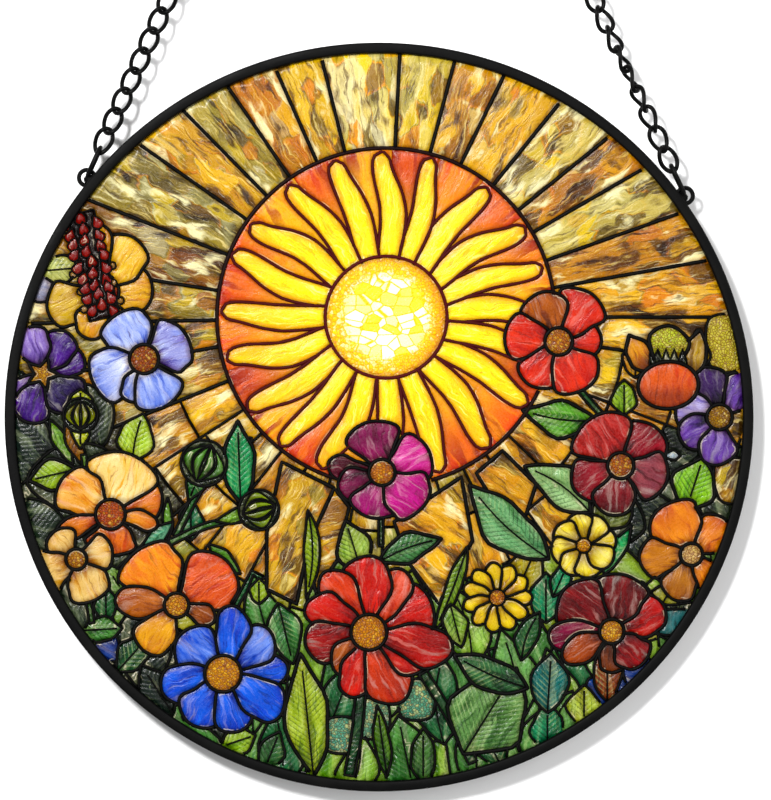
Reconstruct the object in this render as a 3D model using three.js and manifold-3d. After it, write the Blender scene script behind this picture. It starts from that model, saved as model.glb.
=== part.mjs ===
// A round stained glass suncatcher: a leaded picture of a sun over a flower garden in a black
// metal rim, hung by two curb chains from one ring. Millimetres, +Z up. The picture stands in
// the XZ plane and faces -Y. The origin is the inner top of the hanging ring, where a hook bears.
import * as THREE from 'three';
import { mergeVertices } from 'three/addons/utils/BufferGeometryUtils.js';
import Module from 'manifold-3d';

const wasm = await Module();
wasm.setup();

// ---- driving sizes ----
const PANEL_RADIUS = 100;
const RIM_WIDTH = 2.7;
const RIM_DEPTH = 6;
const GAP = 0.3;
const LEAD_WIDTH = 1.2;
const LEAD_DEPTH = 3.6;
const GLASS_DEPTH = 2.4;
const OVERLAY_WIDTH = 0.9;
const ROUND_STEPS = 64;
const HEART_STEPS = 8;
const LEAST_HALF_WIDTH = 0.06;
// Points that stand out less than this from a straight edge are left out of a finished mesh.
const STRAIGHTNESS = 0.01;

const SUN = {
  x: 1.9, z: 26.7, disc: 16.3, discSteps: 16, corona: 45.2, coronaSteps: 36, flames: 20, stays: 10, notch: 24,
};

const WIRE = 1.2;
const LINK_LENGTH = 8.3;
const LINK_WIDTH = 5.5;
const LINK_TWIST = 90;
const LINK_FULLNESS = 0.4;
// Neighbouring links bear on each other, so they are drawn this much fuller and join there.
const LINK_BEARING = 0.2;
const HOOK_GAP = 0.5;
const CONNECTOR_LENGTH = 9.5;
const CONNECTOR_WIDTH = 5.8;
const EYELET_RADIUS = 2.1;
const EYELET_REACH = PANEL_RADIUS + 1;
const RING_RADIUS = 5.8;
const RING_WIRE = 1.6;
// How many corners and wire sides each loop has.
const LINK_MESH = { corners: 4, sides: 3 };
const CONNECTOR_MESH = { corners: 8, sides: 4 };
const EYELET_MESH = { corners: 10, sides: 4 };
const RING_MESH = { corners: 16, sides: 6 };
// From the middle of the picture up to the middle of the hanging ring.
const HANG_HEIGHT = 236.4;
// Each chain turns about its own line: which link, and its roll there. The right one is twisted.
const CHAINS = [
  { side: 'left', sign: 1, links: 30, rolls: [[0, 82], [29, 135]] },
  { side: 'right', sign: -1, links: 31, rolls: [[0, 90], [8.5, -90], [30, -45]] },
];

const LINK_PITCH = LINK_LENGTH - 2 * WIRE;
const RIM_INNER = PANEL_RADIUS - RIM_WIDTH;
const LEAD_OUTER = RIM_INNER - GAP;
const GLASS_OUTER = LEAD_OUTER - LEAD_WIDTH / 2;
const PICTURE_Z = -(RING_RADIUS - RING_WIRE / 2) - HANG_HEIGHT;
const BLACK = 0x0b0b0c;

// ---- the picture: x and z are measured from its middle, angles anticlockwise from +X ----

// The rays that part the sky run from the corona to the rim, as seen from the sun's middle.
const SKY = [
  ['sky_gold_east', -8, 10, 0xe8b64a],
  ['sky_amber_east', 10, 19, 0xd9902c],
  ['sky_olive_east', 19, 30, 0xc2b25a],
  ['sky_orange_northeast', 30, 39, 0xd8862a],
  ['sky_cream_northeast', 39, 51, 0xdccf8a],
  ['sky_gold_northeast', 51, 64, 0xdfa93b],
  ['sky_amber_north', 64, 75, 0xc9862f],
  ['sky_olive_north', 75, 87, 0xb9a85c],
  ['sky_cream_north', 87, 104, 0xd9cc8e],
  ['sky_gold_north', 104, 114, 0xd9a33a],
  ['sky_orange_northwest', 114, 124.5, 0xd9762a],
  ['sky_olive_northwest', 124.5, 134.5, 0xa8974e],
  ['sky_amber_northwest', 134.5, 145, 0xcf8f35],
  ['sky_cream_west', 145, 158.5, 0xcdbd7c],
  ['sky_brown_west', 158.5, 171, 0xa46a2a],
  ['sky_olive_west', 171, 202, 0xb39a45],
];

// Glass between the flowers below the sun: name, colour, corners.
const MEADOW = [
  ['meadow_gold_southwest', 0xd9b545, [[-30, -31], [-26, -12], [-12, -19], [-19, -34], [-22, -50], [-30, -46]]],
  ['meadow_amber_southwest', 0xcb9a3c, [[-19, -34], [-12, -19], [-8, -24], [-11, -38], [-17, -47]]],
  ['meadow_amber_south', 0xc97f25, [[4, -28], [22, -16], [25, -33], [16, -50], [8, -39]]],
  ['meadow_orange_southeast', 0xd0801f, [[26, -15], [33, -9], [42, -18], [37, -33]]],
];

// name, foot x, foot z, length, width, direction, bow, colour
const LEAVES = [
  ['leaf_emerald_west', -37, -23, 22, 8.6, 92, 0, 0x159457],
  ['leaf_green_far_west', -81, -14, 13, 8, 193, 0, 0x8fae3a],
  ['leaf_light_center', -4.5, -42, 15, 9.3, 107, 0, 0x9cb956],
  ['leaf_dark_center', 0.2, -38.5, 17.5, 7.6, 20, 0.8, 0x3f7a4c],
  ['leaf_sea_east', 45.4, -37.9, 29, 12, 137, 1.5, 0x5c9c6d],
  ['leaf_pale_east', 56.5, -25.5, 21.5, 10.5, 145, -1.5, 0x86b877],
  ['leaf_green_east', 58.2, -1, 20, 9.5, 172, 1, 0x4d9a3c],
  ['leaf_bright_far_east', 82, -25, 15, 12, 72, 0, 0x7db53a],
  ['leaf_frond_south', -17.5, -96, 33, 11.5, 96, 0, 0x93ac3f],
  ['leaf_broad_southeast', 22.5, -90, 27, 21, 58, 0, 0x57834c],
  ['leaf_veined_southeast', 39.7, -72.4, 21.5, 9, 156, 0.8, 0x356b40],
];

// name, x, z, heart radius, petals as [direction, length, width], glass colour
const FLOWERS = [
  ['flower_violet_east', 91, 0, 3.4,
    [[60, 13, 9], [110, 14, 9], [165, 12, 9], [215, 12, 9], [262, 13, 9]], 0x5f3f86],
  ['flower_violet_west', -90, 11.5, 3.4,
    [[22, 12, 8], [60, 13, 8], [103, 13, 8], [218, 10, 6], [253, 13.5, 9], [318, 13, 10]], 0x4d2c73],
  ['bud_striped_far_west', -79.8, 0.5, 4.6, [[90, 7, 7], [270, 9, 5]], 0xc3d251],
  ['flower_amber', -74.5, 33.5, 5,
    [[2, 14, 12], [58, 17, 12], [100, 19, 9], [204, 15, 11], [257, 13, 8]], 0xd99a24],
  ['flower_pale_blue', -62.8, 15.5, 3.9,
    [[25, 13, 13], [119, 14, 13], [205, 15, 14], [250, 12, 7], [288, 14, 12]], 0x8fa4dc],
  ['flower_cream_poppy', -71.8, -26, 4,
    [[28, 15, 11], [77, 17, 16], [145, 16, 12], [200, 15.5, 5], [268, 11, 12], [347, 13, 4.5]], 0xf0b45a],
  ['flower_beige', -80.9, -38, 2.8, [[20, 10, 8], [129, 9.5, 8], [205, 11, 10], [291, 12, 11]], 0xe0bd77],
  ['bud_round_west', -46.8, -12.3, 6.2, [[248, 11, 5]], 0x58a04f],
  ['bud_round_center', -32.1, -24.8, 5.4, [[195, 12, 4]], 0x8bb043],
  ['flower_orange_west', -54.1, -50.3, 3.3,
    [[37, 18, 15], [127, 18, 16], [175, 16.5, 8], [236, 15, 10], [338, 11, 5]], 0xe8641c],
  ['flower_blue', -41.7, -68.6, 4.9,
    [[5, 17.5, 8.5], [43, 17, 9.5], [81, 18.4, 8.4], [137, 15.5, 11], [195, 17, 10],
      [236, 16, 10.5], [284, 16, 10], [324, 19, 10]], 0x3557c4],
  ['flower_magenta', 0.8, -14.8, 3.5,
    [[25, 13.8, 11.5], [107, 14, 12], [171, 14.6, 6], [203, 12.5, 8], [254, 12.5, 11], [323, 14.3, 12.5]],
    0x9c2f77],
  ['flower_red', -2.7, -57.5, 4.8,
    [[30, 18.6, 14], [61, 19, 9], [90, 20.4, 12], [127, 20, 9], [157, 18.4, 9], [190, 17.3, 10],
      [234, 14, 8], [254, 18, 8.5], [294, 20.6, 11], [328, 17.7, 9], [347, 22.9, 10]], 0xc4151b],
  ['flower_coral', 48, 20.2, 3.7,
    [[3, 11.5, 7.5], [55, 15.5, 12], [112, 14, 11], [172, 14.5, 11], [235, 14, 10], [300, 14.5, 12.5]],
    0xd93a36],
  ['flower_maroon', 64.6, -13, 3.5,
    [[40, 14, 12], [122, 15, 15], [205, 14, 10], [257, 13.5, 10], [341, 13, 11]], 0xa02f35],
  ['flower_tulip', 77.3, 8.9, 6.2, [[13, 8.6, 9], [90, 15, 9.4], [195, 8.4, 9]], 0xe06c1e],
  ['flower_orange_east', 83.5, -36.7, 3,
    [[46, 13, 9], [117, 15, 13.5], [184, 14, 9], [250, 13, 8.5], [312, 14, 9]], 0xe8781f],
  ['flower_crimson', 62.2, -57.3, 3.3,
    [[27, 15.5, 10], [78, 15.5, 13], [138, 17, 13], [185, 17, 8], [210, 15, 7], [270, 11, 7], [315, 12, 9]],
    0x8e0f20],
];

// name, x, z, petals, reach, notch between two petals, first petal's direction, heart radius, colour
const ROSETTES = [
  ['flower_primrose', 54.7, -34.3, 8, 8.8, 5, 13, 2, 0xeede6a],
  ['flower_daisy', 31.6, -48.2, 11, 9.4, 4.4, 0, 2.2, 0xf2cf2e],
];

// How full petals and leaves are along their length: where they are widest, how blunt, and whether
// they end in a point.
const PETAL_FORM = { widest: 1.3, blunt: 0.7, stations: [0.5, 0.94], pointed: false };
const LEAF_FORM = { widest: 0.9, blunt: 1, stations: [0.22, 0.55, 0.84], pointed: true };

// ---- geometry helpers ----

const radians = THREE.MathUtils.degToRad;

function toSolid(geometry) {
  geometry.deleteAttribute('normal');
  geometry.deleteAttribute('uv');
  const merged = mergeVertices(geometry, 1e-5);
  const mesh = new wasm.Mesh({
    numProp: 3,
    vertProperties: new Float32Array(merged.attributes.position.array),
    triVerts: new Uint32Array(merged.index.array),
  });
  return new wasm.Manifold(mesh);
}

function toGeometry(solid) {
  const mesh = solid.asOriginal().simplify(STRAIGHTNESS).getMesh();
  const geometry = new THREE.BufferGeometry();
  geometry.setAttribute('position', new THREE.BufferAttribute(mesh.vertProperties, 3));
  geometry.setIndex(new THREE.BufferAttribute(mesh.triVerts, 1));
  geometry.computeVertexNormals();
  return geometry;
}

/** A plate of one outline in the XZ plane, between two depths along Y. */
function plate(outline, front, back) {
  const geometry = new THREE.ExtrudeGeometry(new THREE.Shape(outline), {
    depth: back - front,
    bevelEnabled: false,
    steps: 1,
  });
  geometry.rotateX(Math.PI / 2);
  geometry.translate(0, back, 0);
  return toSolid(geometry);
}

function join(solids) {
  return solids.reduce((whole, solid) => whole.add(solid));
}

function largestPart(solid) {
  return solid.decompose().reduce((a, b) => (b.volume() > a.volume() ? b : a));
}

// ---- outlines: each takes how far it grows outward, so that leads keep one width ----

function circle(x, z, radius, steps) {
  const at = (i) => new THREE.Vector2(
    x + radius * Math.cos((2 * Math.PI * i) / steps),
    z + radius * Math.sin((2 * Math.PI * i) / steps),
  );
  return Array.from({ length: steps }, (_, i) => at(i));
}

/** A petal or leaf: both sides of a bowed midrib, full in the middle and closed at its ends. */
function blade(x, z, length, width, direction, bow, form, grow) {
  const along = new THREE.Vector2(Math.cos(radians(direction)), Math.sin(radians(direction)));
  const across = new THREE.Vector2(-along.y, along.x);
  const point = (s, offset) => new THREE.Vector2(x, z)
    .addScaledVector(along, s * length + (2 * s - 1) * grow)
    .addScaledVector(across, bow * Math.sin(Math.PI * s) + offset);
  const full = (s) => (width / 2) * Math.sin(Math.PI * s ** form.widest) ** form.blunt;
  const half = (s) => Math.max(full(s) + grow, LEAST_HALF_WIDTH);
  const there = form.stations.map((s) => point(s, -half(s)));
  const back = form.stations.map((s) => point(s, half(s))).reverse();
  const tip = form.pointed ? [point(1, 0)] : [];
  return [point(0, 0), ...there, ...tip, ...back];
}

/** The sky between two rays, from inside the corona to past the rim. */
function sector(from, to, grow) {
  const middle = new THREE.Vector2(SUN.x, SUN.z);
  const inner = SUN.corona - LEAD_WIDTH;
  const outer = 2 * PANEL_RADIUS;
  const ray = (angle, reach, side) => {
    const along = new THREE.Vector2(Math.cos(radians(angle)), Math.sin(radians(angle)));
    const across = new THREE.Vector2(-along.y, along.x);
    return middle.clone().addScaledVector(along, reach).addScaledVector(across, side * grow);
  };
  const arc = (reach) => [from, (from + to) / 2, to].map((angle, i) => ray(angle, reach, i - 1));
  return [...arc(inner), ...arc(outer).reverse()];
}

/** A small flower of narrow petals: their tips, and the notches between them. */
function rosette(x, z, petals, reach, notch, first, grow) {
  const points = [];
  for (let i = 0; i < 2 * petals; i += 1) {
    const radius = (i % 2 ? notch : reach) + grow;
    const angle = radians(first) + (Math.PI * i) / petals;
    points.push(new THREE.Vector2(x + radius * Math.cos(angle), z + radius * Math.sin(angle)));
  }
  return points;
}

/** The star that the flames' edges draw over the corona. */
function star(grow) {
  const points = [];
  for (let i = 0; i < 2 * SUN.flames; i += 1) {
    const reach = (i % 2 ? SUN.notch : SUN.corona) + 2 * grow;
    const angle = (Math.PI * i) / SUN.flames;
    points.push(new THREE.Vector2(SUN.x + reach * Math.cos(angle), SUN.z + reach * Math.sin(angle)));
  }
  return points;
}

// ---- the shapes of the picture, from the lowest to the one on top of all ----

function skyShape([name, from, to, color]) {
  return { name, color, outlines: (grow) => [sector(from, to, grow)] };
}

/** A pane with straight sides, each pushed outward by the growth. */
function pane(corners, grow) {
  const points = corners.map(([x, z]) => new THREE.Vector2(x, z));
  if (THREE.ShapeUtils.isClockWise(points)) {
    points.reverse();
  }
  return points.map((point, i) => {
    const before = point.clone().sub(points.at(i - 1)).normalize();
    const after = points[(i + 1) % points.length].clone().sub(point).normalize();
    const out = new THREE.Vector2(before.y + after.y, -before.x - after.x);
    return point.clone().addScaledVector(out, grow / (1 + before.dot(after)));
  });
}

function meadowShape([name, color, corners]) {
  return { name, color, outlines: (grow) => [pane(corners, grow)] };
}

function sunShape(name, radius, steps, color) {
  return { name, color, outlines: (grow) => [circle(SUN.x, SUN.z, radius + grow, steps)] };
}

function leafShape([name, x, z, length, width, direction, bow, color]) {
  return { name, color, outlines: (grow) => [blade(x, z, length, width, direction, bow, LEAF_FORM, grow)] };
}

function flowerShape([name, x, z, heart, petals, color]) {
  const outlines = (grow) => [
    circle(x, z, heart + grow, HEART_STEPS),
    ...petals.map(([direction, length, width]) => blade(x, z, length, width, direction, 0, PETAL_FORM, grow)),
  ];
  return { name, color, outlines, heart: { x, z, radius: heart } };
}

function rosetteShape([name, x, z, petals, reach, notch, first, heart, color]) {
  const outlines = (grow) => [rosette(x, z, petals, reach, notch, first, grow)];
  return { name, color, outlines, heart: { x, z, radius: heart } };
}

const shapes = [
  ...SKY.map(skyShape),
  ...MEADOW.map(meadowShape),
  sunShape('sun_corona', SUN.corona, SUN.coronaSteps, 0xf08a1e),
  sunShape('sun_disc', SUN.disc, SUN.discSteps, 0xf6e7a0),
  ...LEAVES.map(leafShape),
  ...FLOWERS.map(flowerShape),
  ...ROSETTES.map(rosetteShape),
];

/** What shows of one shape when it shrinks by a margin and all above it grow by the same. */
function visiblePart(index, margin, front, back, radius) {
  const solidOf = (shape, grow) => join(shape.outlines(grow).map((outline) => plate(outline, front, back)));
  let solid = solidOf(shapes[index], -margin);
  solid = solid.intersect(plate(circle(0, 0, radius, ROUND_STEPS), front, back));
  for (const above of shapes.slice(index + 1)) {
    solid = solid.subtract(solidOf(above, margin));
  }
  return solid;
}

// The openings in the leading, one for each shape, and no more than one where a shape is cut up.
const openings = shapes.map((shape, index) => (
  largestPart(visiblePart(index, LEAD_WIDTH / 2, -LEAD_DEPTH, LEAD_DEPTH, GLASS_OUTER))
));

// ---- materials ----

function glassMaterial(name, color) {
  return new THREE.MeshStandardMaterial({ name, color, roughness: 0.18, metalness: 0 });
}

function metalMaterial(name, roughness) {
  return new THREE.MeshStandardMaterial({ name, color: BLACK, roughness, metalness: 0.6 });
}

function meshOf(name, solid, material) {
  const mesh = new THREE.Mesh(toGeometry(solid), material);
  mesh.name = name;
  return mesh;
}

// ---- glass ----

function makeGlass() {
  const margin = LEAD_WIDTH / 2 + GAP;
  return shapes.map((shape, index) => {
    const solid = visiblePart(index, margin, -GLASS_DEPTH / 2, GLASS_DEPTH / 2, GLASS_OUTER - GAP);
    const pane = largestPart(solid.intersect(openings[index]));
    return meshOf(shape.name, pane, glassMaterial(shape.name, shape.color));
  });
}

// ---- leading: one soldered net, with the thin leads inside flowers and sun on its front ----

/** A straight lead on the front, between two reaches from a point. */
function spoke(x, z, direction, from, to, front, back) {
  const along = new THREE.Vector2(Math.cos(direction), Math.sin(direction));
  const across = new THREE.Vector2(-along.y, along.x).multiplyScalar(OVERLAY_WIDTH / 2);
  const middle = new THREE.Vector2(x, z);
  const near = middle.clone().addScaledVector(along, from);
  const far = middle.clone().addScaledVector(along, to);
  const outline = [near.clone().sub(across), far.clone().sub(across), far.clone().add(across),
    near.clone().add(across)];
  return plate(outline, front, back);
}

function ringLead(x, z, radius, front, back) {
  const outer = plate(circle(x, z, radius + OVERLAY_WIDTH / 2, HEART_STEPS), front, back);
  return outer.subtract(plate(circle(x, z, radius - OVERLAY_WIDTH / 2, HEART_STEPS), front, back));
}

/** What a shape's own thin leads keep on the front once the shapes above it lie over them. */
function uncovered(leads, shape, front, back) {
  const above = shapes.slice(shapes.indexOf(shape) + 1);
  return above.reduce((rest, other) => (
    rest.subtract(join(other.outlines(0).map((outline) => plate(outline, front, back))))
  ), leads);
}

/** The flames' edges, and the leads that tie them to the disc. */
function sunLeads(front, back) {
  const flames = plate(star(OVERLAY_WIDTH / 2), front, back)
    .subtract(plate(star(-OVERLAY_WIDTH / 2), front, back));
  const stays = Array.from({ length: SUN.stays }, (_, i) => {
    const direction = Math.PI / SUN.flames + (2 * Math.PI * i) / SUN.stays;
    return spoke(SUN.x, SUN.z, direction, SUN.disc, SUN.notch, front, back);
  });
  return join([flames, ...stays]);
}

function makeLeading() {
  const front = -LEAD_DEPTH / 2;
  const overlayBack = -GLASS_DEPTH / 2 - GAP;
  const disc = plate(circle(0, 0, LEAD_OUTER, ROUND_STEPS), front, LEAD_DEPTH / 2);
  const net = openings.reduce((rest, opening) => rest.subtract(opening), disc);
  const corona = shapes.find((shape) => shape.name === 'sun_corona');
  const hearts = shapes.filter((shape) => shape.heart).map((shape) => {
    const { x, z, radius } = shape.heart;
    return uncovered(ringLead(x, z, radius, front, overlayBack), shape, front, overlayBack);
  });
  const onFront = join([uncovered(sunLeads(front, overlayBack), corona, front, overlayBack), ...hearts]);
  const leads = net.add(onFront.intersect(disc));
  return meshOf('leading', largestPart(leads), metalMaterial('leading', 0.45));
}

// ---- rim with its two eyelets ----

/** A closed loop of wire with a ridge inside: length along X, width along Y, ends apart by the twist. */
function wireLoop(length, width, wire, { corners, sides }, twist) {
  // A torus wide enough for its wire to keep its section when it is drawn in to the loop's size.
  const middle = 10 * length;
  const geometry = new THREE.TorusGeometry(middle, wire / 2, sides, corners);
  geometry.rotateZ(Math.PI / corners);
  const position = geometry.attributes.position;
  const reach = { x: (length - wire) / 2, y: (width - wire) / 2 };
  for (let i = 0; i < position.count; i += 1) {
    const angle = Math.atan2(position.getY(i), position.getX(i));
    const inward = Math.hypot(position.getX(i), position.getY(i)) - middle;
    const x = (reach.x - inward) * bulge(Math.cos(angle));
    const y = (reach.y - inward) * bulge(Math.sin(angle));
    const z = -position.getZ(i);
    const roll = radians(twist) * (x / (2 * reach.x));
    position.setXYZ(i, x, y * Math.cos(roll) - z * Math.sin(roll), y * Math.sin(roll) + z * Math.cos(roll));
  }
  return geometry;
}

/** A round ring of wire in the XY plane. */
function ringLoop(radius, wire, { corners, sides }) {
  return new THREE.TorusGeometry(radius, wire / 2, sides, corners);
}

/** Fills a loop out towards its corners, so that its neighbour's wire passes inside its end. */
function bulge(value) {
  return Math.abs(value) < 0.01 ? 0 : Math.sign(value) * Math.abs(value) ** LINK_FULLNESS;
}

/** Places a loop on a chain line: roll 90 shows its face to the front, roll 0 its edge. */
function onLine(geometry, start, direction, distance, roll) {
  geometry.rotateX(radians(roll));
  geometry.rotateY(-Math.atan2(direction.y, direction.x));
  geometry.translate(start.x + direction.x * distance, 0, start.y + direction.y * distance);
  return geometry;
}

function eyeletPlace(chain) {
  const reach = hangDistance(chain);
  const cosine = (EYELET_REACH ** 2 + HANG_HEIGHT ** 2 - reach ** 2) / (2 * EYELET_REACH * HANG_HEIGHT);
  const angle = Math.PI / 2 + chain.sign * Math.acos(cosine);
  return new THREE.Vector2(Math.cos(angle), Math.sin(angle)).multiplyScalar(EYELET_REACH);
}

const connectorStart = EYELET_RADIUS - WIRE / 2 - GAP - WIRE;
const chainStart = connectorStart + CONNECTOR_LENGTH - WIRE - HOOK_GAP - WIRE;

/** From the middle of an eyelet to the middle of the hanging ring, by the links between them. */
function hangDistance(chain) {
  const chainEnd = chainStart + (chain.links - 1) * LINK_PITCH + LINK_LENGTH;
  return chainEnd - WIRE - HOOK_GAP + RING_RADIUS - RING_WIRE / 2;
}

function rollOf(chain, index) {
  const next = chain.rolls.findIndex(([link]) => link >= Math.max(index, 0.5));
  const [[from, rollFrom], [to, rollTo]] = chain.rolls.slice(next - 1, next + 1);
  return THREE.MathUtils.mapLinear(index, from, to, rollFrom, rollTo);
}

function makeRim() {
  const half = RIM_DEPTH / 2;
  const profile = [[RIM_INNER, -half], [PANEL_RADIUS, -half], [PANEL_RADIUS, half], [RIM_INNER, half],
    [RIM_INNER, -half]];
  const band = new THREE.LatheGeometry(profile.map(([r, y]) => new THREE.Vector2(r, y)), ROUND_STEPS);
  const eyelets = CHAINS.map((chain) => {
    const place = eyeletPlace(chain);
    const loop = ringLoop(EYELET_RADIUS, WIRE, EYELET_MESH);
    return toSolid(onLine(loop, place, place.clone().normalize(), 0, 90));
  });
  return meshOf('rim', join([toSolid(band), ...eyelets]), metalMaterial('rim', 0.5));
}

// ---- chains, their end links, and the hanging ring ----

function makeChain(chain) {
  const start = eyeletPlace(chain);
  const direction = new THREE.Vector2(0, HANG_HEIGHT).sub(start).normalize();
  const connector = wireLoop(CONNECTOR_LENGTH, CONNECTOR_WIDTH, WIRE, CONNECTOR_MESH, 0);
  onLine(connector, start, direction, connectorStart + CONNECTOR_LENGTH / 2, 0);
  const links = Array.from({ length: chain.links }, (_, i) => {
    const link = wireLoop(LINK_LENGTH + LINK_BEARING, LINK_WIDTH, WIRE + LINK_BEARING, LINK_MESH, LINK_TWIST);
    const distance = chainStart + i * LINK_PITCH + LINK_LENGTH / 2;
    return toSolid(onLine(link, start, direction, distance, rollOf(chain, i)));
  });
  return [
    meshOf(`connector_${chain.side}`, toSolid(connector), metalMaterial('connector', 0.3)),
    meshOf(`chain_${chain.side}`, join(links), metalMaterial('chain', 0.3)),
  ];
}

function makeRing() {
  const ring = ringLoop(RING_RADIUS, RING_WIRE, RING_MESH);
  onLine(ring, new THREE.Vector2(0, HANG_HEIGHT), new THREE.Vector2(0, 1), 0, 90);
  return meshOf('hanging_ring', toSolid(ring), metalMaterial('ring', 0.3));
}

// ---- the whole part ----

const suncatcher = new THREE.Group();
suncatcher.add(makeRim(), makeLeading(), ...makeGlass(), ...CHAINS.flatMap(makeChain), makeRing());
suncatcher.position.z = PICTURE_Z;

export default suncatcher;
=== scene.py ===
"""A round stained glass suncatcher on two curb chains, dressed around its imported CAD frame.

The picture is worked out flat, in millimetres from the middle of the panel, x to the right and z up.
Its panes are outlines in painter's order. One triangulation of all of them gives each pane the part
of it that shows, and the leads follow the outlines wherever no later pane covers them.
"""
import math
import random

import bpy
import numpy as np
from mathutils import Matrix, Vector, geometry, kdtree


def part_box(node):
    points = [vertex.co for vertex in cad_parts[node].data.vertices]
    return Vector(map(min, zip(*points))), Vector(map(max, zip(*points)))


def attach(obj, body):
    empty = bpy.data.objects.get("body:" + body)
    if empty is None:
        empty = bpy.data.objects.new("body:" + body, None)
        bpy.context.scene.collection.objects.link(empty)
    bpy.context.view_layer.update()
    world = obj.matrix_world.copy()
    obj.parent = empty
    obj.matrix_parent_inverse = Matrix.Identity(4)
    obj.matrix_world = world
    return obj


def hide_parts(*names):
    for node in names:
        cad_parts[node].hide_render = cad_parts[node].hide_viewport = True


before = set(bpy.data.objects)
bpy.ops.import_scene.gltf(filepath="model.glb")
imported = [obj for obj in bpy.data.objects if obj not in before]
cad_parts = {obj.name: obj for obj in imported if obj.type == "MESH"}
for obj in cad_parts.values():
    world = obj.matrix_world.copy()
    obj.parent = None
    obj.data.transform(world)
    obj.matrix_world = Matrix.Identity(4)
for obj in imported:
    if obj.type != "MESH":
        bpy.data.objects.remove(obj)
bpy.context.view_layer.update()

MM = 0.001
SEED = 11
dice = random.Random(SEED)

# ---- sizes: the panel's from the frame, the rest in millimetres ----
RIM_LOW, RIM_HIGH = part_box("rim")
RING_LOW, RING_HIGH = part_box("hanging_ring")
PICTURE_Z = (RIM_HIGH.z + RIM_LOW.z) / 2 / MM
PANEL_RADIUS = (RIM_HIGH.z - RIM_LOW.z) / 2 / MM
RIM_WIDTH = 2.7
RIM_DEPTH = (RIM_HIGH.y - RIM_LOW.y) / MM
GLASS_RADIUS = PANEL_RADIUS - RIM_WIDTH - 0.1
GLASS_DEPTH = 2.4
LEAD_DEPTH = 3.56
RING_Z = (RING_HIGH.z + RING_LOW.z) / 2 / MM
HANG_HEIGHT = RING_Z - PICTURE_Z
LEAD = 1.1
THIN_LEAD = 0.78
FINE_LEAD = 0.5
BERRY_LEAD = 0.4
PETAL_LEAD = THIN_LEAD + 0.15
HEART_LEAD = THIN_LEAD + 0.2
FLAME_LEAD = THIN_LEAD + 0.1
RING_GAP = 0.95

SUN = {"disc": 16.3, "corona": 45.2}
SUN_PLACE = (1.9, 26.7)

WIRE = 1.2
LINK_LENGTH, LINK_WIDTH, LINK_TWIST = 8.3, 5.5, 90
CONNECTOR_LENGTH, CONNECTOR_WIDTH = 9.5, 5.8
EYELET_RADIUS, EYELET_REACH = 2.1, PANEL_RADIUS + 1
RING_RADIUS, RING_WIRE = 5.8, 1.6
JOINT_GAP, HOOK_GAP = 0.3, 0.5
CHAINS = [
    {"side": "left", "sign": 1, "links": 30, "rolls": [(0, 82), (29, 135)]},
    {"side": "right", "sign": -1, "links": 31, "rolls": [(0, 90), (8.5, -90), (30, -45)]},
]


def rgb(code):
    """The linear colour of a hexadecimal sRGB code."""
    parts = [(code >> shift & 255) / 255 for shift in (16, 8, 0)]
    linear = [p / 12.92 if p <= 0.04045 else ((p + 0.055) / 1.055) ** 2.4 for p in parts]
    return (*linear, 1.0)


# ---- the picture's tables: colours are those of the glass at a pane's foot and at its far end ----

# node, from degrees, to degrees, colours: the rays of sky round the sun
SKY = [
    ("sky_gold_east", -8, 0, 0xE9A93A, 0xF0C45A),
    ("sky_gold_east", 0, 10, 0xF2B23C, 0xC47A1E),
    ("sky_amber_east", 10, 19.5, 0xCF8A2C, 0xB9791F),
    ("sky_olive_east", 19.5, 30, 0xB9A24A, 0xD9CB86),
    ("sky_orange_northeast", 30, 39, 0xC98A2E, 0xC0702A),
    ("sky_cream_northeast", 39, 51, 0xB8983C, 0xEADC90),
    ("sky_gold_northeast", 51, 64, 0xD79A2C, 0xE7B64A),
    ("sky_amber_north", 64, 75, 0xC07A22, 0xCFA24A),
    ("sky_olive_north", 75, 87, 0xC8A83C, 0xE8DA80),
    ("sky_cream_north", 87, 104, 0xF0D468, 0xFFF8CC),
    ("sky_gold_north", 104, 114, 0xE0A82C, 0xE8C85A),
    ("sky_orange_northwest", 114, 124.5, 0xC56A1E, 0xB5782A),
    ("sky_olive_northwest", 124.5, 134.5, 0x8F7A38, 0xB9A860),
    ("sky_amber_northwest", 134.5, 145, 0xC98A2E, 0xDDB04A),
    ("sky_cream_west", 145, 158.5, 0x5E5228, 0x8E7E44),
    ("sky_brown_west", 158.5, 171, 0x34200A, 0x8E4C14),
    ("sky_olive_west", 171, 181, 0x8A7428, 0x5A4C20),
    ("sky_olive_west", 181, 190, 0xC9B04A, 0x8A7A3A),
    ("sky_olive_west", 190, 202, 0xB48A34, 0x8F8A44),
]

# node, colours, corners: glass between the flowers below the sun
MEADOW = [
    ("meadow_gold_southwest", 0xE2B53E, 0xB98A2A,
     [(-30, -31), (-26, -12), (-12, -19), (-19, -34), (-22, -50), (-30, -46)]),
    ("meadow_amber_southwest", 0xD9A848, 0xA8702A,
     [(-19, -34), (-12, -19), (-8, -24), (-11, -38), (-17, -47)]),
    ("meadow_amber_south", 0xD58A28, 0xE0B04A, [(4, -28), (22, -16), (25, -33), (16, -50), (8, -39)]),
    ("meadow_orange_southeast", 0xD8861F, 0xC9A040, [(26, -15), (33, -9), (42, -18), (37, -33)]),
]

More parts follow.
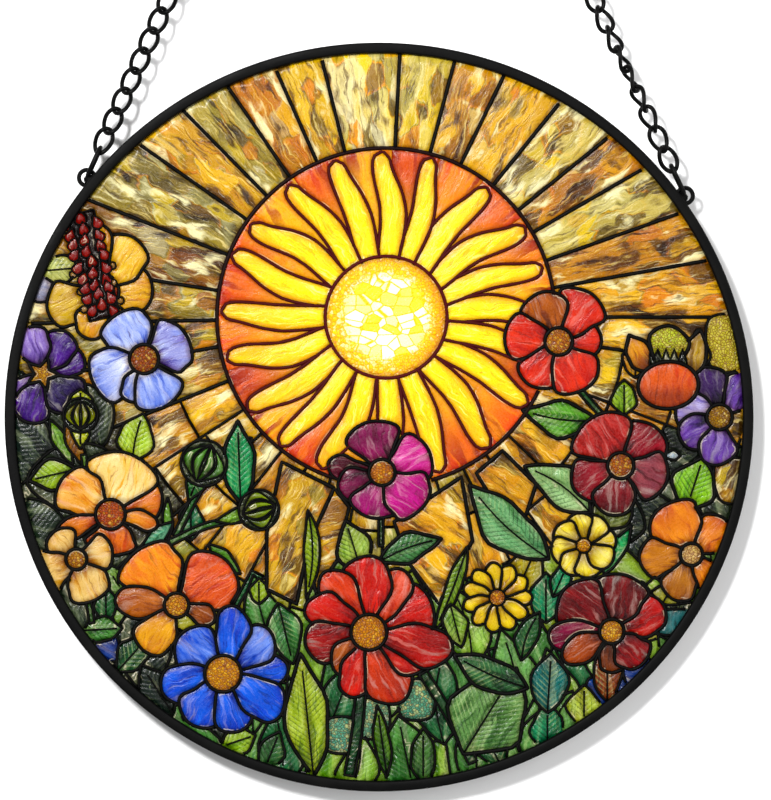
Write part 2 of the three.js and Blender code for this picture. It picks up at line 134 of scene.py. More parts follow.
# node, foot, length, width, direction, bow, colours
LEAVES = [
    ("leaf_emerald_west", -37, -23, 22, 8.6, 92, 0, 0x0F7A45, 0x35B06A),
    ("leaf_green_far_west", -81, -14, 13, 8, 193, 0, 0x6F9A2E, 0xB4CC55),
    ("leaf_light_center", -4.5, -42, 15, 9.3, 107, 0, 0x86A84A, 0xB6CC70),
    ("leaf_dark_center", 0.2, -38.5, 17.5, 7.6, 20, 0.8, 0x2F6A40, 0x5F9458),
    ("leaf_sea_east", 45.4, -37.9, 29, 12, 137, 1.5, 0x3F7F52, 0x8FBF86),
    ("leaf_pale_east", 56.5, -25.5, 21.5, 10.5, 145, -1.5, 0x6FA265, 0xA8CC90),
    ("leaf_green_east", 58.2, -1, 20, 9.5, 172, 1, 0x3A8030, 0x77B04A),
    ("leaf_bright_far_east", 82, -25, 15, 12, 72, 0, 0x6AA82E, 0x9CCB50),
    ("leaf_frond_south", -17.5, -96, 33, 11.5, 96, 0, 0x86A038, 0xC0CE62),
    ("leaf_broad_southeast", 22.5, -90, 27, 21, 58, 0, 0x3F6F3C, 0x7FA262),
    ("leaf_veined_southeast", 39.7, -72.4, 21.5, 9, 156, 0.8, 0x1F5030, 0x4F8050),
]

# node, x, z, heart radius, petals (direction, length, width), colours at heart and tip, heart colours
FLOWERS = [
    ("flower_violet_east", 91, 0, 3.4,
     [(60, 13, 9), (110, 14, 9, 0x120820, 0x4A2E68),
      (165, 12, 9, 0x6A54B0, 0xD4CCF2), (215, 12, 9), (262, 13, 9)],
     0x241444, 0x8A66C0, 0xB98A30, 0x5A3A18),
    ("flower_violet_west", -90, 11.5, 3.4,
     [(22, 12, 8), (60, 13, 8), (103, 13, 8, 0x4A2E80, 0xB8A0E0),
      (218, 10, 6, 0x3A1E68, 0x9A80CC), (253, 13.5, 9), (318, 13, 10, 0x0C0620, 0x2E1C58)],
     0x1C0A3E, 0x5C2A9C, 0xD9A030, 0x8A5A1C),
    ("bud_striped_far_west", -79.8, 0.5, 4.6, [(90, 7, 7), (270, 9, 5)],
     0xC6D452, 0x8FA838, 0xC6D452, 0x93B03A),
    ("flower_amber", -74.5, 33.5, 5,
     [(2, 14, 12), (58, 17, 12, 0xC88820, 0xFADC78), (100, 19, 9),
      (204, 15, 11, 0xA87814, 0xDCBC48), (257, 13, 8)],
     0xB8740E, 0xF2C03A, 0xC03A10, 0x8A1A0A),
    ("flower_pale_blue", -62.8, 15.5, 3.9,
     [(25, 13, 13, 0x5A3A9C, 0xC4D0FA), (119, 14, 13, 0x5A74D0, 0xD8E2FF),
      (205, 15, 14, 0x4A66C8, 0xEAF0FF), (250, 12, 7), (288, 14, 12)],
     0x4A66C8, 0xC2D0FA, 0xB05A22, 0x6A2A10),
    ("flower_cream_poppy", -71.8, -26, 4,
     [(28, 15, 11, 0xC04C04, 0xF09A34), (77, 17, 16, 0xE8A83C, 0xFCF0B8), (145, 16, 12, 0xCC6210, 0xF8D48A),
      (200, 15.5, 5, 0xB84A06, 0xF09028), (268, 11, 12, 0xA83004, 0xF08022),
      (347, 13, 4.5, 0xC05808, 0xF0A038)],
     0xE0700E, 0xFAE29A, 0x8A2A12, 0xC05A1C),
    ("flower_beige", -80.9, -38, 2.8, [(20, 10, 8), (129, 9.5, 8), (205, 11, 10), (291, 12, 11)],
     0xC98A3C, 0xF2DEA0, 0xC98A30, 0x8A4A1A),
    ("bud_round_west", -46.8, -12.3, 6.2, [(248, 11, 5)], 0x2F7038, 0x86C060, 0x3F8A44, 0x1A4A28),
    ("bud_round_center", -32.1, -24.8, 5.4, [(195, 12, 4)], 0x5F9038, 0xB4D058, 0x86B048, 0x35662C),
    ("flower_orange_west", -54.1, -50.3, 3.3,
     [(37, 18, 15, 0xA82404, 0xF0641A), (127, 18, 16, 0xD05206, 0xFCAE3C),
      (175, 16.5, 8, 0x7A300A, 0xC87028), (236, 15, 10, 0xB86A10, 0xF4B436),
      (338, 11, 5, 0x6A2408, 0xA85A20)],
     0xBE3A04, 0xF4901E, 0xE09A2A, 0x9A4A14),
    ("flower_blue", -41.7, -68.6, 4.9,
     [(5, 17.5, 8.5), (43, 17, 9.5, 0x2038A8, 0x9AB4F8), (81, 18.4, 8.4),
      (137, 15.5, 11, 0x1C30A4, 0x88A6F6), (195, 17, 10),
      (236, 16, 10.5), (284, 16, 10), (324, 19, 10)],
     0x10239A, 0x5880F0, 0xE8A02C, 0xA0601A),
    ("flower_magenta", 0.8, -14.8, 3.5,
     [(25, 13.8, 11.5, 0x9A1460, 0xF078BC), (107, 14, 12, 0x3E0420, 0x961A5C),
      (171, 14.6, 6, 0x300412, 0x741034), (203, 12.5, 8, 0x3A0420, 0x8A1450),
      (254, 12.5, 11, 0x5A0634, 0xB83080), (323, 14.3, 12.5, 0x7A0E48, 0xE05CA8)],
     0x4E0632, 0xC23894, 0xD98A30, 0x8A3A18),
    ("flower_red", -2.7, -57.5, 4.8,
     [(30, 18.6, 14), (61, 19, 9, 0xB02C24, 0xF49080), (90, 20.4, 12), (127, 20, 9, 0xA82420, 0xF07C6A),
      (157, 18.4, 9), (190, 17.3, 10, 0x540406, 0xB01012),
      (234, 14, 8, 0x7A2E10, 0xD0702C), (254, 18, 8.5), (294, 20.6, 11, 0x7A140E, 0xDC6050), (328, 17.7, 9),
      (347, 22.9, 10, 0x640406, 0xCC1812)],
     0x86060A, 0xE62418, 0xE0952C, 0xA0561A),
    ("flower_coral", 48, 20.2, 3.7,
     [(3, 11.5, 7.5), (55, 15.5, 12), (112, 14, 11, 0x541806, 0xCC6C2C),
      (172, 14.5, 11), (235, 14, 10), (300, 14.5, 12.5)],
     0xA00C10, 0xF25648, 0xD98A30, 0x7A2A12),
    ("flower_maroon", 64.6, -13, 3.5,
     [(40, 14, 12), (122, 15, 15, 0x74101A, 0xD06460), (205, 14, 10), (257, 13.5, 10, 0x38040A, 0x8A2028),
      (341, 13, 11, 0x502434, 0xA85C60)],
     0x460409, 0xAC3640, 0xC9742A, 0x6A2412),
    ("flower_tulip", 77.3, 8.9, 6.3, [], 0xB86A1C, 0xE8A63C, 0xE8601C, 0xB03A0E),
    ("flower_orange_east", 83.5, -36.7, 3,
     [(46, 13, 9), (117, 15, 13.5), (184, 14, 9, 0x8A4410, 0xDC8E34),
      (250, 13, 8.5, 0x7A3A10, 0xC88434), (312, 14, 9)],
     0xB43E04, 0xF69A34, 0xF0D8A0, 0x9A5A20),
    ("flower_crimson", 62.2, -57.3, 3.3,
     [(27, 15.5, 10, 0x740609, 0xD42420), (78, 15.5, 13, 0x2A0204, 0x820A10),
      (138, 17, 13, 0x300205, 0x8E0C14), (185, 17, 8, 0x44041E, 0x9E1E4A),
      (210, 15, 7, 0x64200C, 0xB85426), (270, 11, 7, 0x4A1C0A, 0x8A4420), (315, 12, 9)],
     0x3C0307, 0xA40C14, 0xE8A83C, 0x8A3A14),
]

# node, x, z, petals, reach, notch between two petals, first petal's direction, heart radius, colours
ROSETTES = [
    ("flower_primrose", 54.7, -34.3, 8, 8.8, 5, 13, 2, 0xE6CC30, 0xFBF2A0, 0xE89A1C, 0xA8701A),
    ("flower_daisy", 31.6, -48.2, 11, 9.4, 4.4, 0, 2.2, 0xE2B010, 0xFCE848, 0xE08A14, 0xA8601A),
]

# Petals are drawn this much wider than their rows say, so that they overlap.
PETAL_SPREAD = 1.12
PETAL_FORM = {"widest": 1.85, "blunt": 0.52}
LEAF_FORM = {"widest": 0.9, "blunt": 1}
LEAF_STATIONS = 17
RUFFLE = 0.1
LEAST = 1e-9

# ---- outlines ----


def polar(angle, reach=1.0):
    return np.array([math.cos(math.radians(angle)), math.sin(math.radians(angle))]) * reach


def circle(x, z, radius, steps=48):
    return np.array([polar(360 * i / steps, radius) for i in range(steps)]) + (x, z)


def blade(x, z, length, width, direction, bow=0.0, form=LEAF_FORM, stations=LEAF_STATIONS):
    """A petal or leaf: both sides of a bowed midrib, closed at its foot and its tip, a little uneven."""
    along, across = polar(direction), polar(direction + 90)
    share = (1 - np.cos(np.linspace(0, math.pi, stations))) / 2
    half = width / 2 * np.sin(math.pi * share ** form["widest"]) ** form["blunt"]
    middle = np.array([x, z]) + np.outer(share * length, along)
    middle = middle + np.outer(bow * np.sin(math.pi * share), across)
    waves = [1 + RUFFLE * np.sin(share * dice.uniform(7, 13) + dice.uniform(0, 6)) for _ in range(2)]
    there = middle - np.outer(half * waves[0], across)
    back = middle + np.outer(half * waves[1], across)
    return np.concatenate([there, back[-2:0:-1]])


def band(start, end, inner, outer, steps=5):
    """A stretch of a ring round the sun, between two rays."""
    angles = np.linspace(start, end, steps)
    arc = [polar(a, inner) for a in angles] + [polar(a, outer) for a in angles[::-1]]
    return np.array(arc) + SUN_PLACE


def ellipse(x, z, half_width, half_height, turn=0.0, steps=40):
    """An oval whose long axis is turned from +X."""
    round_points = np.array([polar(360 * i / steps) for i in range(steps)]) * (half_width, half_height)
    wide, high = np.outer(round_points[:, 0], polar(turn)), np.outer(round_points[:, 1], polar(turn + 90))
    return wide + high + (x, z)


def star(x, z, outer, inner, points, first):
    steps = [(inner if i % 2 else outer, first + 180 * i / points) for i in range(2 * points)]
    return np.array([polar(angle, r) for r, angle in steps]) + (x, z)


def rounded(corners):
    """A soft closed outline through its corners."""
    count = len(corners)
    around = smooth_line([corners[i % count] for i in range(-1, count + 2)], 6)
    return around[6:6 * (count + 1)]


def normals(step, least=0.0):
    """Unit vectors to the left of each step of a line."""
    return np.stack([-step[:, 1], step[:, 0]], 1) / (np.linalg.norm(step, axis=1)[:, None] + least)


def ribbon(points, width):
    """A band of one width along a smooth line through the given points."""
    line = smooth_line(points, 10)
    normal = normals(np.gradient(line, axis=0))
    return np.concatenate([line - normal * width / 2, (line + normal * width / 2)[::-1]])


def smooth_line(points, steps):
    """A Catmull-Rom line through the points."""
    points = np.array(points, float)
    ends = np.vstack([2 * points[0] - points[1], points, 2 * points[-1] - points[-2]])
    line = []
    for i in range(len(points) - 1):
        p0, p1, p2, p3 = ends[i:i + 4]
        for t in np.linspace(0, 1, steps, endpoint=False):
            line.append(0.5 * (2 * p1 + (p2 - p0) * t + (2 * p0 - 5 * p1 + 4 * p2 - p3) * t ** 2
                               + (3 * p1 - p0 - 3 * p2 + p3) * t ** 3))
    return np.array([*line, points[-1]])


# ---- panes in painter's order ----

STREAKY, LEAFY, RAY, GRAIN, CHIPS, FLAME, MOSS, EMBER = range(8)
panes = []
lines = []


def add_pane(host, outline, tint, shade, kind=STREAKY, origin=None, direction=None, lead=LEAD, reach=None,
             warm=0.0):
    """One pane. Its glass runs along a direction from an origin, and changes colour over its reach."""
    outline = np.asarray(outline, float)
    origin = outline.mean(0) if origin is None else np.array(origin, float)
    direction = dice.uniform(0, 180) if direction is None else direction
    along = (outline - origin) @ polar(direction)
    panes.append({
        "host": host, "outline": outline, "tint": np.array(rgb(tint)), "shade": np.array(rgb(shade)),
        "kind": kind, "origin": origin, "direction": direction, "lead": lead, "warm": warm,
        "from": min(0.0, along.min()) if reach is None else reach[0],
        "to": along.max() if reach is None else reach[1], "seed": dice.uniform(0, 500),
    })


def add_line(points, width, warm=0.0):
    """A lead along a line of its own, on top of the panes laid so far."""
    lines.append({"points": np.asarray(points, float), "width": width, "warm": warm,
                  "level": len(panes) - 1})


def add_leaf(host, start, end, width, tint, shade, bow=0.0, lead=LEAD, rib=True, kind=LEAFY):
    start, end = np.array(start, float), np.array(end, float)
    step = end - start
    direction, length = math.degrees(math.atan2(step[1], step[0])), float(np.hypot(*step))
    add_pane(host, blade(*start, length, width, direction, bow), tint, shade, kind, start, direction, lead)
    if rib and width > 4:
        share = np.linspace(0.02, 0.86, 8)
        bowed = np.outer(bow * np.sin(math.pi * share), polar(direction + 90))
        add_line(start + np.outer(share, step) + bowed, FINE_LEAD)


def add_bud(host, x, z, radius, petals, near, far, light):
    """A round closed bud on its calyx, with curved stripes from its foot to its tip."""
    for direction, length, width in petals:
        tip = np.array([x, z]) + polar(direction, length)
        add_leaf(host, (x, z), tip, width, light, near, 0, THIN_LEAD)
    axis = petals[0][0]
    add_pane(host, circle(x, z, radius, 36), 0x101A10, 0x1E3018, MOSS, (x, z), axis, THIN_LEAD)
    foot, length = np.array([x, z]) + polar(axis, radius * 0.86), radius * 1.72
    stripes = [(-0.72, near, far), (-0.24, far, near), (0.26, light, far), (0.74, near, far)]
    for share, tint, shade in stripes:
        stripe = blade(*foot, length, radius * 0.36, axis + 180, share * radius)
        add_pane(host, stripe, tint, shade, STREAKY, foot, axis + 180, FINE_LEAD)


def add_tulip(host, x, z, radius, near, far, light, dark):
    """A tulip seen from the side: sepals and a pale crown behind its round body."""
    add_leaf(host, (x - 5, z + 3), (x - 10.5, z + 13), 7, near, far, 0, LEAD, False, STREAKY)
    add_leaf(host, (x + 6, z + 2), (x + 8.5, z + 14.5), 6.6, 0x8A6A24, 0xC8A444, 0, LEAD, False, STREAKY)
    crown = blade(x, z, 15.5, 10.5, 90, 0, PETAL_FORM, 17)
    add_pane(host, crown, 0x9AA83A, 0xD4D868, GRAIN, (x, z), 90, LEAD)
    teeth = [(x - 5 + i * 1.1, z + (6.4 if i % 2 else 9.4)) for i in range(10)]
    add_pane(host, [(x - 5, z + 4), *teeth, (x + 5, z + 4)], 0x0A0D08, 0x10140A, MOSS, lead=FINE_LEAD)
    add_pane(host, ellipse(x, z - 0.4, 8.1, radius, 4), dark, light, STREAKY, (x, z - 6), 90, LEAD)


def add_flower(host, x, z, heart, petals, near, far, heart_tint, heart_shade):
    """Petals round a granular heart. A petal may have two colours of its own."""
    if host.startswith("bud"):
        add_bud(host, x, z, heart, petals, near, far, heart_tint)
        return
    if host == "flower_tulip":
        add_tulip(host, x, z, heart, near, far, heart_tint, heart_shade)
        return
    for direction, length, width, *own in petals:
        lean = dice.uniform(-0.04, 0.04) * 57
        tint, shade = own or (near, far)
        petal = blade(x, z, length, width * PETAL_SPREAD, direction, dice.uniform(-0.8, 0.8), PETAL_FORM, 21)
        add_pane(host, petal, tint, shade, STREAKY, (x, z), direction + lean, PETAL_LEAD, (heart, length))
    core = circle(x, z, heart, 32)
    if host == "flower_violet_west":
        core = star(x, z, heart + 1.4, heart * 0.62, 5, 70)
    add_pane(host, core, heart_tint, heart_shade, GRAIN, (x, z), 0, HEART_LEAD, (-heart, heart))


GOLDEN = [(0xC98F2E, 0xE8C450), (0xB8782A, 0xE0A63C), (0xA8923C, 0xD8C868), (0xD08A24, 0xF0C04A)]
OLIVE = [(0x7F8438, 0xC4C464), (0x5F8034, 0xA4BC50), (0x948A30, 0xCCBA50), (0x4F8240, 0x92B860)]
GREEN = [(0x2A6434, 0x72AE60), (0x3C7E46, 0x96C878), (0x164A2C, 0x3E8452), (0x5E963E, 0xB0CE68)]
DARK = [(0x0C1410, 0x20301E), (0x141A12, 0x2C3A26), (0x0A0E0C, 0x1A2A22), (0x1C1A10, 0x38301C)]


def ground_colours(x, z):
    """Gold round the sun, olive under it, green at the bottom and almost black at the sides."""
    if (x < -60 and z < 14) or (x > 58 and -36 < z < -10) or (x < -50 and z < -58):
        return (*dice.choice(DARK), MOSS)
    return (*dice.choice(GOLDEN if z > -36 else OLIVE if z > -50 else GREEN), RAY if z > -40 else MOSS)


# The sky's last edge in degrees, how far its rays run, and their width.
SKY_END, RAY_END, RAY_LEAD = 202, 150, LEAD * 0.95
GROUND_RINGS = [44, 60, 76, 96, 118, RAY_END]
GROUND_RAYS = [SKY_END, 213, 223, 232, 242, 251, 260, 269, 278, 287, 297, 306, 316, 327, 339, 352]
# The heights of the rows of leaves, and how far apart they stand in a row.
HEDGE_ROWS, HEDGE_STEP = (-48, -60, -73, -88), 17


def ground_panes():
    """Small panes behind the garden, in bands round the sun."""
    for start, end in zip(GROUND_RAYS, GROUND_RAYS[1:]):
        jitter = dice.uniform(-6, 6)
        for inner, outer in zip(GROUND_RINGS, GROUND_RINGS[1:]):
            low, high = inner + (jitter if inner > 50 else 0), outer + jitter
            outline = band(start, end, low, high, 3)
            x, z = outline.mean(0)
            if math.hypot(x, z) < PANEL_RADIUS + 12:
                add_pane(nearest_host(x, z), outline, *ground_colours(x, z), SUN_PLACE,
                         (start + end) / 2, THIN_LEAD, (low, high))


def foliage():
    """Broad leaves that overlap like a hedge, from under the flowers down to the rim."""
    for row, z in enumerate(HEDGE_ROWS):
        for column in range(-5, 6):
            x = column * HEDGE_STEP + (8 if row % 2 else 0) + dice.uniform(-3, 3)
            foot = np.array([x, z - 12 + dice.uniform(-4, 4)])
            if math.hypot(*foot) > PANEL_RADIUS + 14:
                continue
            lean = dice.uniform(-32, 32) - x * 0.25
            length, width = dice.uniform(21, 29), dice.uniform(10, 15)
            near, far, _ = ground_colours(x, z)
            tip = foot + polar(90 + lean, length)
            bow = dice.uniform(-2.5, 2.5)
            host = nearest_host(*((foot + tip) / 2))
            add_leaf(host, foot, tip, width, near, far, bow, THIN_LEAD, True, MOSS)


# corners: almost black glass between the flowers
SHADE = [
    [(-99, 13), (-90, 5), (-85, -5), (-91, -14), (-99, -17)],
    [(-90, 5), (-79, 9), (-71, 3), (-74, -8), (-85, -8)],
    [(-86, -8), (-74, -8), (-70, -16), (-80, -26), (-94, -18)],
    [(-94, -22), (-84, -28), (-88, -44), (-96, -36)],
    [(-88, -42), (-78, -48), (-72, -62), (-86, -62)],
    [(55, -22), (66, -20), (71, -30), (60, -35)],
    [(83, -13), (97, -8), (99, -26), (88, -28)],
    [(70, -44), (76, -50), (86, -50), (80, -60), (70, -54)],
]


def shade_panes():
    for corners in SHADE:
        host = nearest_host(*np.mean(corners, 0))
        add_pane(host, rounded(corners), *dice.choice(DARK), MOSS, lead=THIN_LEAD)


def nearest_host(x, z):
    """The glass node whose middle is nearest, for a pane that has no node of its own."""
    return min(host_middles, key=lambda name: np.hypot(*(host_middles[name] - (x, z))))


def host_places():
    """The middle of each glass node below the sky, in picture millimetres."""
    places = {}
    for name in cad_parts:
        if name.startswith(("meadow", "leaf", "flower", "bud")):
            low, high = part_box(name)
            middle = (low + high) / 2 / MM
            places[name] = np.array([middle.x, middle.z - PICTURE_Z])
    return places


host_middles = host_places()


def sky_panes():
    for host, start, end, near, far in SKY:
        outline = band(start, end, SUN["corona"] - 1, 2 * PANEL_RADIUS)
        add_pane(host, outline, near, far, RAY, SUN_PLACE, (start + end) / 2, 0, (45, 95))
    for start in sorted({row[1] for row in SKY} | {SKY_END}):
        ray = np.array([polar(start, r) for r in np.linspace(SUN["corona"], RAY_END, 40)]) + SUN_PLACE
        add_line(ray, RAY_LEAD)


FLAME_EDGES = [-5, 12.7, 27.8, 45, 64, 79, 97, 115.8, 131.5, 152.4, 169.4, 189.6, 207.6, 225.4, 240, 262, 281,
               301, 322, 340, 355]
# A flame's half width along its length, as a share of its fullest.
FLAME_FORM = [(0, 0.80), (0.2, 0.92), (0.42, 1), (0.62, 0.93),
              (0.8, 0.78), (0.93, 0.66), (0.98, 0.46), (1, 0.1)]
EMBERS = [(0xF6A010, 0xE84A08), (0xF27A0A, 0xC02A06), (0xFFC81C, 0xF08010), (0xF06008, 0x8E1A08)]


def flame(start, end, sway, tip):
    """One flame of the sun: it fills its share at the disc, and sways to the corona's edge."""
    share = np.linspace(0, 1, 25)
    reach = SUN["disc"] - 0.6 + share * (tip - SUN["disc"])
    full = 0.5 * (end - start) * math.radians(1) * 24
    half = np.interp(share, *zip(*FLAME_FORM)) * min(full, 3.5)
    middle = np.radians((start + end) / 2 + sway * np.sin(share * math.pi * 1.7) * (0.35 + 0.65 * share))
    spine = np.stack([np.cos(middle), np.sin(middle)], 1) * reach[:, None]
    normal = normals(np.gradient(spine, axis=0))
    right, left = spine - normal * half[:, None], spine + normal * half[:, None]
    return np.concatenate([right, left[::-1]]) + SUN_PLACE


def sun_panes():
    middles = [(a + b) / 2 for a, b in zip(FLAME_EDGES, FLAME_EDGES[1:])]
    for i, (start, end) in enumerate(zip(middles, [*middles[1:], middles[0] + 360])):
        ember = EMBERS[(2, 0, 1, 0, 3, 2, 1)[i % 7]]
        add_pane("sun_corona", band(start, end, SUN["disc"], SUN["corona"]), *ember, EMBER, SUN_PLACE,
                 (start + end) / 2, 0, (24, 44))
    ring = circle(*SUN_PLACE, SUN["corona"], 140)
    add_line(np.vstack([ring, ring[:1]]), LEAD, 0.1)
    for i, (start, end) in enumerate(zip(FLAME_EDGES, FLAME_EDGES[1:])):
        sway = (-3.4 if 3 < i < 9 else 3.4) + dice.uniform(-1.6, 1.6)
        warmth = 0.5 + 0.5 * math.cos(math.radians((start + end) / 2 - 60))
        near, far = (0xFFE94A, 0xFFC81A) if warmth > 0.35 else (0xFFDC34, 0xF2AE14)
        outline = flame(start, end, sway, SUN["corona"] - dice.uniform(0.1, 0.9))
        add_pane("sun_corona", outline, near, far, FLAME, SUN_PLACE, (start + end) / 2, FLAME_LEAD,
                 (17, 45), 0.8)
    add_pane("sun_disc", circle(*SUN_PLACE, SUN["disc"], 64), 0xF6B818, 0xFFE650, CHIPS, SUN_PLACE, 0,
             PETAL_LEAD, (-17, 17), 1.0)


# start, end, width, colours, bow: leaves, blades and stems that the CAD model leaves out
BLADES = [
    ((-91, 39), (-79, 40), 8, 0xAEB860, 0xD8DC90, 0),
    ((-76.1, 51), (-76.1, 43), 2.6, 0x8A8A7A, 0xB0B0A0, 0),
    ((-88, -0.8), (-81.8, -12.8), 4, 0x4F8A30, 0x8AB850, 0),
    ((-84, -2), (-78, -13.9), 4, 0x8A5A20, 0xB9802A, 0),
    ((-66, -12), (-63, 1), 10, 0x8FB83A, 0xC8DC6A, 0.5),
    ((-56.5, -33), (-56.5, -21.5), 2.8, 0x4F9040, 0x86B858, 0),
    ((-55, -28), (-64, -36), 4, 0x4F9A78, 0x7FC0A0, 0),
    ((-50.3, -33), (-50.3, -22), 6.6, 0x0F5A3A, 0x2F8A5A, 0),
    ((-45.5, -34), (-37, -42), 4, 0x3F8A3A, 0x7AB050, 0),
    ((-32.1, -50), (-32.1, -43), 5, 0x8AB838, 0xB8D460, 0),
    ((-73, -55), (-73, -45), 6, 0x1A4A2A, 0x3A7A44, 0),
    ((-79, -57), (-68.6, -56.4), 7, 0x2F6A34, 0x5F9A4C, 0),
    ((-70, -68), (-61, -58), 8, 0x123F26, 0x2F6A3C, 0),
    ((-27, -49.7), (-23, -66), 9, 0x2F7040, 0x5F9A58, 0),
    ((-24.4, -68.8), (-19, -94), 4, 0x0F3A20, 0x2A6038, 0),
    ((-42, -88), (-33, -85), 8, 0x86B040, 0xB0D060, 0),
    ((-31, -95), (-26.5, -84), 7, 0x1F5030, 0x4A7A44, 0),
    ((2.1, -96), (-0.5, -77), 4.5, 0x3F7A34, 0x86B04A, 0),
    ((-19, -24.8), (-19.5, -48.7), 4.4, 0x7FA838, 0xB4CC5C, 1.5),
    ((23.6, -34.5), (14.7, -57.5), 4.2, 0x6FA040, 0xA8C860, 0.5),
    ((19, -50), (22, -61.6), 6.6, 0x8FB85A, 0xC0D88A, 0),
    ((44.6, -55), (44.6, -41.5), 9, 0x0F7048, 0x2FA070, 0),
    ((46.5, -48), (51, -38), 5, 0x1A8A5A, 0x4AB884, 0),
    ((38, -65), (43, -52), 6, 0x1F5030, 0x3F7A44, 1),
    ((11.8, -98), (11.8, -83), 7, 0x2F6034, 0x5F8A48, 0),
    ((33, -94), (26, -80), 8, 0x1A4A2C, 0x3A6A40, 0),
    ((45, -90), (45, -76), 9, 0x0F6A44, 0x2F9A68, 0),
    ((45, -79), (46, -63), 10.7, 0x0C4A48, 0x2A7A74, 0),
    ((54.8, -83), (54.8, -71.5), 9.5, 0x8FA840, 0xC4CC62, 0),
    ((60, -42), (67.5, -29), 4, 0x1A8A4A, 0x4AB874, 0),
    ((68.5, 10.5), (68.5, 20.5), 7, 0xC98A2C, 0xE8B850, 0),
    ((85.2, 11), (85.2, 23.5), 6.4, 0x9A7A2C, 0xC8A848, 0),
    ((61, -76), (61, -60), 8, 0x6A2A14, 0x9A4A24, 0),
    ((65.5, 0.5), (65.5, 10), 7, 0x8AB83A, 0xBCD868, 0),
    ((80.5, -10.2), (76, -10.2), 2.6, 0x9AB8D8, 0xD0E0F0, 0),
]

# stems: points, width, colour
STEMS = [
    ([(-47.5, -18.5), (-51, -25), (-54.5, -32)], 1.6, 0x2F6A34),
    ([(-35, -27), (-46, -29), (-56, -33.5)], 1.6, 0x3F7A38),
    ([(-43, -10), (-38, -6.5), (-34, -6)], 1.2, 0x2F6A34),
    ([(-79, -10), (-78, -17)], 1.4, 0x5F8A38),
    ([(-79, -45), (-77.5, -50), (-76.7, -55)], 1.4, 0x3F6A34),
    ([(-4.9, -74), (-6, -85), (-8, -95.8)], 2.7, 0x1F4A2A),
    ([(11.8, -68.4), (19, -80), (25.1, -92.3)], 2.5, 0x1F4A2A),
    ([(0.5, -26.5), (0.5, -34.5)], 1.3, 0x2A4A2A),
    ([(53, 8), (57, 3.4), (60, 0)], 1.5, 0x2A5A30),
]

# corners, colours, kind: other small panes
CHIPS_OF_GLASS = [
    ([(-93, 37), (-88, 37), (-87, 32), (-92, 31)], 0x8FA8D8, 0xF0F4FF, STREAKY),
    ([(56, -70), (65, -69), (66, -76), (57, -77)], 0x2A50B0, 0x6A90E0, STREAKY),
    ([(66, -64), (72, -64), (72, -71), (66, -71)], 0x3A60C0, 0x86A8F0, STREAKY),
    ([(74, -52), (87, -52), (86, -57), (75, -58)], 0x2A7A80, 0x5AB0B0, STREAKY),
    ([(-75, -59), (-70, -59), (-70, -65), (-75, -64)], 0x2A4AA0, 0x6080D8, STREAKY),
    ([(-14, -81), (-6, -81), (-6, -89), (-14, -89)], 0x3F7A66, 0x77B090, GRAIN),
    ([(-6, -76), (2, -76), (2, -85), (-6, -85)], 0x4F8A72, 0x86BC9A, GRAIN),
    ([(6, -71), (14, -71), (14, -80), (6, -80)], 0x3F7A62, 0x6FA888, GRAIN),
    ([(88, 26), (97, 26), (98, 14), (89, 13)], 0xA89A3A, 0xD0C468, GRAIN),
    ([(90, -12), (99, -12), (98, -22), (91, -22)], 0x3A2412, 0x6A4A24, RAY),
    ([(58, -22), (67, -23), (66, -29), (58, -29)], 0x3F4A1E, 0x6F7A34, LEAFY),
]


def berry_spike():
    """A hanging spike of red berries on black, with cream beads beside its lower half."""
    foot, tip = np.array([-80.0, 53.5]), np.array([-73.6, 27.5])
    step = tip - foot
    spine = foot + np.outer(np.linspace(-0.04, 1.04, 9), step)
    add_pane("flower_amber", ribbon(spine, 8.4), 0x140605, 0x200A06, STREAKY, foot, 284, FINE_LEAD)
    for i in range(6):
        place = foot + step * (0.5 + i * 0.09) + ((-1) ** i * dice.uniform(4.6, 5.6), 0)
        add_pane("flower_amber", circle(*place, 1.0, 10), 0xF2DCA0, 0xE8C070, STREAKY, None, 0, FINE_LEAD)
    for i in range(9):
        for side in (-1, 0, 1):
            share = (i + (0.5 if side else 0)) / 9
            place = foot + step * share + (side * (3.3 - 1.6 * share), dice.uniform(-0.5, 0.5))
            turn = 270 + side * 26 + dice.uniform(-12, 12)
            berry = blade(*(place + (0, 1.6)), 3.9, 2.9, turn, 0, PETAL_FORM, 9)
            add_pane("flower_amber", berry, 0x9C0A0C, 0xF03020, STREAKY, place, 270, BERRY_LEAD)


def build_picture():
    ground_panes()
    sky_panes()
    foliage()
    shade_panes()
    for host, near, far, corners in MEADOW:
        add_pane(host, corners, near, far, RAY)
    sun_panes()
    for corners, near, far, kind in CHIPS_OF_GLASS:
        middle = np.mean(corners, 0)
        add_pane(nearest_host(*middle), rounded(corners), near, far, kind, lead=THIN_LEAD)
    for start, end, width, near, far, bow in BLADES:
        middle = (np.array(start) + end) / 2
        add_leaf(nearest_host(*middle), start, end, width, near, far, bow, THIN_LEAD)
    for points, width, color in STEMS:
        add_pane(nearest_host(*points[0]), ribbon(points, width), color, color, MOSS, lead=THIN_LEAD)
    for host, x, z, length, width, direction, bow, near, far in LEAVES:
        add_leaf(host, (x, z), (x, z) + polar(direction, length), width, near, far, bow)
    for row in FLOWERS:
        add_flower(*row)
        if row[0] == "flower_amber":
            berry_spike()
    for host, x, z, petals, reach, notch, first, heart, near, far, heart_tint, heart_shade in ROSETTES:
        for i in range(petals):
            direction = first + 360 * i / petals
            width = 2.1 * reach * math.sin(math.pi / petals) * (1.02 if notch > 4.6 else 0.8)
            add_pane(host, blade(x, z, reach, width, direction, 0, PETAL_FORM, 15), near, far, STREAKY,
                     (x, z), direction, THIN_LEAD, (heart, reach))
        add_pane(host, circle(x, z, heart, 20), heart_tint, heart_shade, GRAIN, (x, z), 0, FINE_LEAD)


build_picture()

